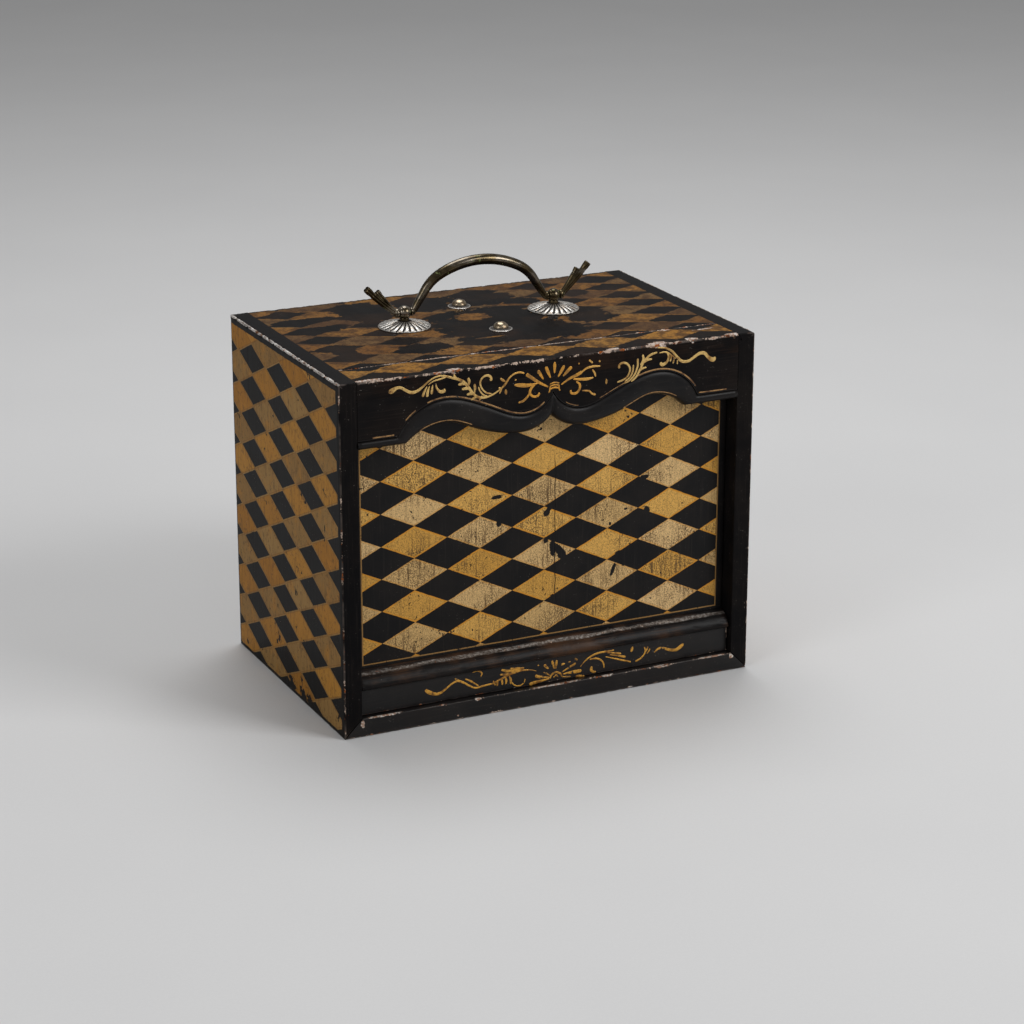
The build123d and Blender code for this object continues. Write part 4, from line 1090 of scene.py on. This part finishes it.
def rosette(name, x0):
    """Height over radius and angle: a domed disc less the valleys between 24 round petals, which turn
    slightly as they run out, with a scalloped raised rim; closed underneath."""
    radius = np.r_[np.linspace(BORE, 17.0, 34), np.linspace(17.15, ROSETTE, 9)]
    turn = np.linspace(0, 2 * np.pi, PETALS * 16, endpoint=False)
    r, a = np.meshgrid(radius, turn, indexing="ij")
    petal = (a + 0.012 * (r - 2)) * (PETALS / 2) / np.pi
    across = 2 * (petal - np.floor(petal)) - 1
    dome = 4.15 - 3.2 * (r / ROSETTE) ** 2.4 + 1.0 * np.exp(-((r / 5.0) ** 2))
    deep = np.interp(r, [2, 4.5, 9, 16, 17.6, 18], [0.2, 0.75, 1.05, 0.95, 0.45, 0.2])
    valley = 1 - np.sqrt(np.clip(1 - np.abs(across) ** 2.2, 0, 1))
    lip = 0.22 * np.exp(-(((r - 17.1) / 0.5) ** 2))
    z = dome - deep * valley + lip - np.clip(r - 17.5, 0, 1) * 0.6
    r = r - 0.35 * valley * np.clip((r - 12) / 6, 0, 1)
    top = np.stack([r * np.cos(a), r * np.sin(a), z], -1)
    under = [(17.9, 0.35), (17.7, 0.05), (17.0, 0.0), (10.0, 0.0), (BORE, 0.0), (BORE, 2.0)]
    rings = [np.stack([q * np.cos(turn), q * np.sin(turn), np.full_like(turn, h)], -1) for q, h in under]
    whole = np.concatenate([top, np.stack(rings)]) + np.array([x0, AXIS_Y, TALL])
    darker = np.interp(radius, [2, 4, 17, 18], [1.4, 1.2, 1.0, 0.4])
    low = np.concatenate([valley**0.7 * darker[:, None], np.full((len(under), len(turn)), 0.4)])
    low[:6] = np.maximum(low[:6], 0.9)  # black round the post
    faces = net(len(whole), len(turn), round_rows=True)
    return put(name, whole.reshape(-1, 3), [faces], rosette_silver, marks=low.ravel())


for label, x0 in (("rosette_left", -PIVOT), ("rosette_right", PIVOT)):
    piece = rosette(label + "_petals", x0)
    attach(piece, "case")
    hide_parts(label)
for label in ("rove_left", "rove_right"):
    coat(label, rosette_silver)


# Posts: split pins of bronze strip, folded so that the head is a ball bored through for the bail, and
# the two legs go down through the rosette and the top board and are clinched on the rove.
def bronze(name, polish, green):
    """Dark olive bronze: brown skin, polished where hands rub, and green in the low places."""
    made, place = new_finish(name)
    skin = place.cloud(7.0, 4.0)
    colour = skin.ease(0.35, 0.65).mix((0.046, 0.034, 0.017, 1), (0.105, 0.078, 0.040, 1))
    rubbed = (place * (0.5, 1.0, 1.0)).cloud(9.0, 2.0).ease(0.50, 0.68) * polish
    colour = rubbed.mix(colour, (0.34, 0.30, 0.25, 1))
    copper = place.cloud(3.4, 4.0, 0.6).ease(0.63, 0.69)
    colour = (copper * green).mix(colour, (0.13, 0.17, 0.045, 1))
    pit = place.cloud(0.8, 3.0)
    rough = 0.15 + skin * 0.12 + copper * green * 0.4
    return lay_on(made, place, colour, rough, 0.90 - copper * green * 0.7, pit * 0.5 + skin, 0.04)


post_bronze = bronze("dark_bronze_posts", 0.7, 0.9)


def turned(profile, count, origin, axis):
    """A closed profile of (along, radius) turned round an axis through origin."""
    along, radius = np.array(profile, float).T
    turn = np.linspace(0, 2 * np.pi, count, endpoint=False)
    a, c, s = along[:, None] + 0 * turn, radius[:, None] * np.cos(turn), radius[:, None] * np.sin(turn)
    spots = {"x": (a, c, s), "z": (c, s, a)}[axis]
    return (np.stack(spots, -1) + np.array(origin)).reshape(-1, 3), net(len(along), count, round_rows=True)


def drawn_in(rings, tips):
    """A run of rings with each end drawn in to a point, so that the run is closed."""
    first, last = (np.broadcast_to(tip, rings[:1].shape) for tip in tips)
    return np.concatenate([first, rings, last])


def gather(name, shells, finish):
    """Several closed shells as one piece."""
    places, faces, start = [], [], 0
    for spots, sides in shells:
        fans = (spots - spots.mean(0))[np.concatenate([sides[:, [0, 1, 2]], sides[:, [0, 2, 3]]])]
        inside_out = np.einsum("ij,ij->i", fans[:, 0], np.cross(fans[:, 1], fans[:, 2])).sum() < 0
        places.append(spots)
        faces.append((sides[:, ::-1] if inside_out else sides) + start)
        start += len(spots)
    return put(name, np.concatenate(places), [np.concatenate(faces)], finish)


ball = [(-4.0, 1.83), (-4.0, 2.35), (-3.85, 2.72)]
ball += [(4.75 * np.cos(t), 4.75 * np.sin(t)) for t in np.linspace(np.radians(143), np.radians(37), 26)]
ball += [(3.85, 2.72), (4.0, 2.35), (4.0, 1.83), (0.0, 1.83)]
ball = [(a, r - 0.28 * np.exp(-(((abs(a) - 2.35) / 0.28) ** 2)) if r > 2.8 else r) for a, r in ball]
shank = [(-15.0, 0.02), (-15.0, 1.88), (3.4, 1.95), (4.0, 3.3), (4.4, 3.5), (5.2, 3.4), (6.0, 3.2), (7.2, 3.1)]
shank = [(TALL + h, r) for h, r in (*shank, (7.4, 0.02))]
ring = np.array([(-1, -0.55), (-0.8, -0.7), (0.8, -0.7), (1, -0.55), (1, 0.55), (0.8, 0.7), (-0.8, 0.7), (-1, 0.55)])
steps = np.linspace(0, 1, 16)
for label, x0 in (("handle_post_left", -PIVOT), ("handle_post_right", PIVOT)):
    shells = [turned(ball, 56, (x0, AXIS_Y, AXIS_Z), "x"), turned(shank, 40, (x0, AXIS_Y, 0.0), "z")]
    for way in (-1, 1):  # the clinched legs
        half_wide = 1.75 * (1 - 0.35 * steps**3)
        out, height = way * (1.0 + 7.6 * steps**1.2), UNDER - 1.7 - 0.1 * steps
        leg = np.zeros((len(steps), len(ring), 3))
        leg[..., 0], leg[..., 1] = half_wide[:, None] * ring[:, 0], out[:, None]
        leg[..., 2] = height[:, None] + ring[:, 1]
        leg = drawn_in(leg, leg[[0, -1]].mean(1)) + np.array([x0, AXIS_Y, 0.0])
        shells.append((leg.reshape(-1, 3), net(len(leg), len(ring))))
    piece = gather(label + "_pin", shells, post_bronze)
    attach(piece, "case")
    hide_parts(label)

# Strike studs: gilt copper dome nails on small dished washers of silvered copper, driven where the
# folded grip comes down, so that it never dents the lacquer.
gilt, place = new_finish("gilt_copper_domes")
wear = place.cloud(2.6, 4.0)
colour = wear.ease(0.40, 0.66).mix((0.40, 0.33, 0.23, 1), (0.19, 0.135, 0.085, 1))
height = place.cloud(1.6, 2.0)
gilt = lay_on(gilt, place, colour, 0.20 + wear * 0.22, 0.95, height, 0.08)
washer_silver = silver("silvered_copper_washers", (0.68, 0.65, 0.61, 1), (0.50, 0.42, 0.34, 1), 0.9)
stud_apart = 34.0  # from the handle's axis to a stud
dome = [(TALL + h, r) for h, r in ((-8.9, 0.02), (-8.9, 0.3), (-7.0, 1.15), (1.75, 1.15), (1.3, 4.9), (1.5, 5.25))]
dome += [(TALL + 1.55 + 3.9 * np.sin(t), 5.2 * np.cos(t)) for t in np.linspace(0.08, np.pi / 2 - 0.005, 16)]
dish = [(0.0, 1.3), (0.0, 7.6), (0.12, 7.95), (0.42, 8.0), (0.68, 7.75), (0.72, 7.4), (0.60, 6.9), (0.72, 6.2)]
dish += [(1.15, 5.3), (1.62, 4.7), (1.75, 4.2), (1.7, 1.3)]
dish_low = [0.5, 0.6, 0.3, 0, 0, 0.2, 0.75, 0.8, 0.75, 0.9, 1.0, 1.0]  # how black each ring of the dish is
for label, y0 in (("front", AXIS_Y - stud_apart), ("back", AXIS_Y + stud_apart)):
    spots, sides = turned(dome, 48, (0.0, y0, 0.0), "z")
    head = spots[:, 2] > TALL + 2.2
    spots[head] -= 0.09 * unevenness(spots[head], 5.0, 71)[:, None] * np.array([0.5, 0.5, 1.0]) + np.array([0, 0, 0.09])
    piece = put(f"stud_{label}_dome", spots, [sides], gilt)
    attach(piece, "case")
    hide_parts(f"stud_{label}")
    spots, sides = turned([(TALL + h, r) for h, r in dish], 64, (0.0, y0, 0.0), "z")
    piece = put(f"stud_washer_{label}_dish", spots, [sides], washer_silver, marks=np.repeat(dish_low, 64))
    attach(piece, "case")
    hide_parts(f"stud_washer_{label}")

# Handle: one bronze rod, thickest at the grip, bent to a long crown and steep legs. It narrows to a
# neck between two collars that turn in each eye, and its ends fork into two grooved prongs cut square.
bail_bronze = bronze("dark_bronze_bail", 0.40, 0.75)


def carried(path, width, depth, shape, flat_way):
    """A closed section carried along a path: width across and depth along flat_way, both changing from
    station to station, with the ends drawn in to a point at their middle."""
    way = np.gradient(path, axis=0)
    way /= np.linalg.norm(way, axis=1)[:, None]
    flat = flat_way - (way @ flat_way)[:, None] * way
    flat /= np.linalg.norm(flat, axis=1)[:, None]
    side = np.cross(way, flat)
    rings = path[:, None] + side[:, None] * (width[:, None] * shape[None, :, 0])[..., None]
    rings = rings + flat[:, None] * (depth[:, None] * shape[None, :, 1])[..., None]
    rings = drawn_in(rings, path[[0, -1]])
    return rings.reshape(-1, 3), net(len(rings), len(shape))


# Half of the rod's line: an arc from the middle to the angle crown, a tighter bend of radius shoulder to
# the angle slope, then straight down. The arc's radius and the straight's length bring it to the foot.
crown, slope, shoulder = np.radians(27.0), np.radians(57.0), 30.0
foot, rise = 49.8, 31.0
reach = foot - shoulder * (np.sin(slope) - np.sin(crown))
drop = rise - shoulder * (np.cos(crown) - np.cos(slope))
solve = np.sin(crown) * np.sin(slope) - np.cos(slope) * (1 - np.cos(crown))
radius = (reach * np.sin(slope) - drop * np.cos(slope)) / solve
straight = (drop * np.sin(crown) - reach * (1 - np.cos(crown))) / solve
a = np.linspace(0, crown, 34)
arc = np.column_stack([radius * np.sin(a), rise - radius * (1 - np.cos(a))])
b = np.linspace(crown, slope, 22)[1:]
bend = arc[-1] + shoulder * np.column_stack([np.sin(b) - np.sin(crown), np.cos(b) - np.cos(crown)])
down = bend[-1] + np.linspace(0, straight, 18)[1:, None] * np.array([np.cos(slope), -np.sin(slope)])
half = np.concatenate([arc, bend, down])
rod = np.concatenate([half[:0:-1] * np.array([-1, 1]), half])
run = np.r_[0, np.cumsum(np.linalg.norm(np.diff(rod, axis=0), axis=1))]
share = 2 * run / run[-1] - 1
thick = 2.2 + 1.5 * (1 - np.abs(share) ** 3.2)
rod3 = np.column_stack([rod[:, 0], np.full(len(rod), AXIS_Y), rod[:, 1] + AXIS_Z])
turn = np.linspace(0, 2 * np.pi, 40, endpoint=False)
circle = np.column_stack([np.cos(turn), np.sin(turn)])
flat_way = np.array([0.0, 1.0, 0.0])
shells = [carried(rod3, thick, thick, circle, flat_way)]
neck = [(48.4, 0.02), (48.6, 1.6), (49.3, 2.3), (50.2, 2.6), (51.0, 2.9), (51.7, 2.9), (51.95, 2.6), (52.0, 1.75)]
neck += [(60.6, 1.75), (60.63, 2.7), (60.9, 3.05), (61.6, 3.2), (62.6, 3.1), (63.4, 2.6), (64.0, 1.6), (64.2, 0.02)]
notch = np.exp(-(((turn - np.pi / 2) / 0.26) ** 2)) + np.exp(-(((turn - 3 * np.pi / 2) / 0.26) ** 2))
prong = circle * (1 - 0.34 * notch - 0.12 * np.exp(-(((turn - np.pi) / 0.25) ** 2)))[:, None]
s = np.linspace(0, 1, 34)
for way, lean in ((-1, np.radians(38.5)), (1, np.radians(42.0))):
    shells.append(turned([(way * a, r) for a, r in neck], 44, (0.0, AXIS_Y, AXIS_Z), "x"))
    root = np.array([way * 62.4, AXIS_Y, AXIS_Z])
    for length, more, base, tip, behind in ((29.0, 0.0, 2.05, 2.5, -0.35), (21.3, 8.8, 1.85, 2.25, 0.55)):
        lift = lean + np.radians(more) + 0.08 * (s - 0.3)
        line = root + length * s[:, None] * np.column_stack([way * np.cos(lift), behind / length + 0 * s, np.sin(lift)])
        wide = base + (tip - base) * s**1.5
        wide = wide * (1 - 0.12 * np.exp(-(((s - 0.80) / 0.05) ** 2)))
        wide[-1] *= 0.9
        spots, sides = carried(line, wide, wide * 0.96, prong, flat_way)
        spots[-len(turn) :] += (line[-3] - line[-1]) * 0.9  # the sawn end is hollow
        shells.append((spots, sides))
piece = gather("bracken_bail", shells, bail_bronze)
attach(piece, "handle")
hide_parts("handle_bail")
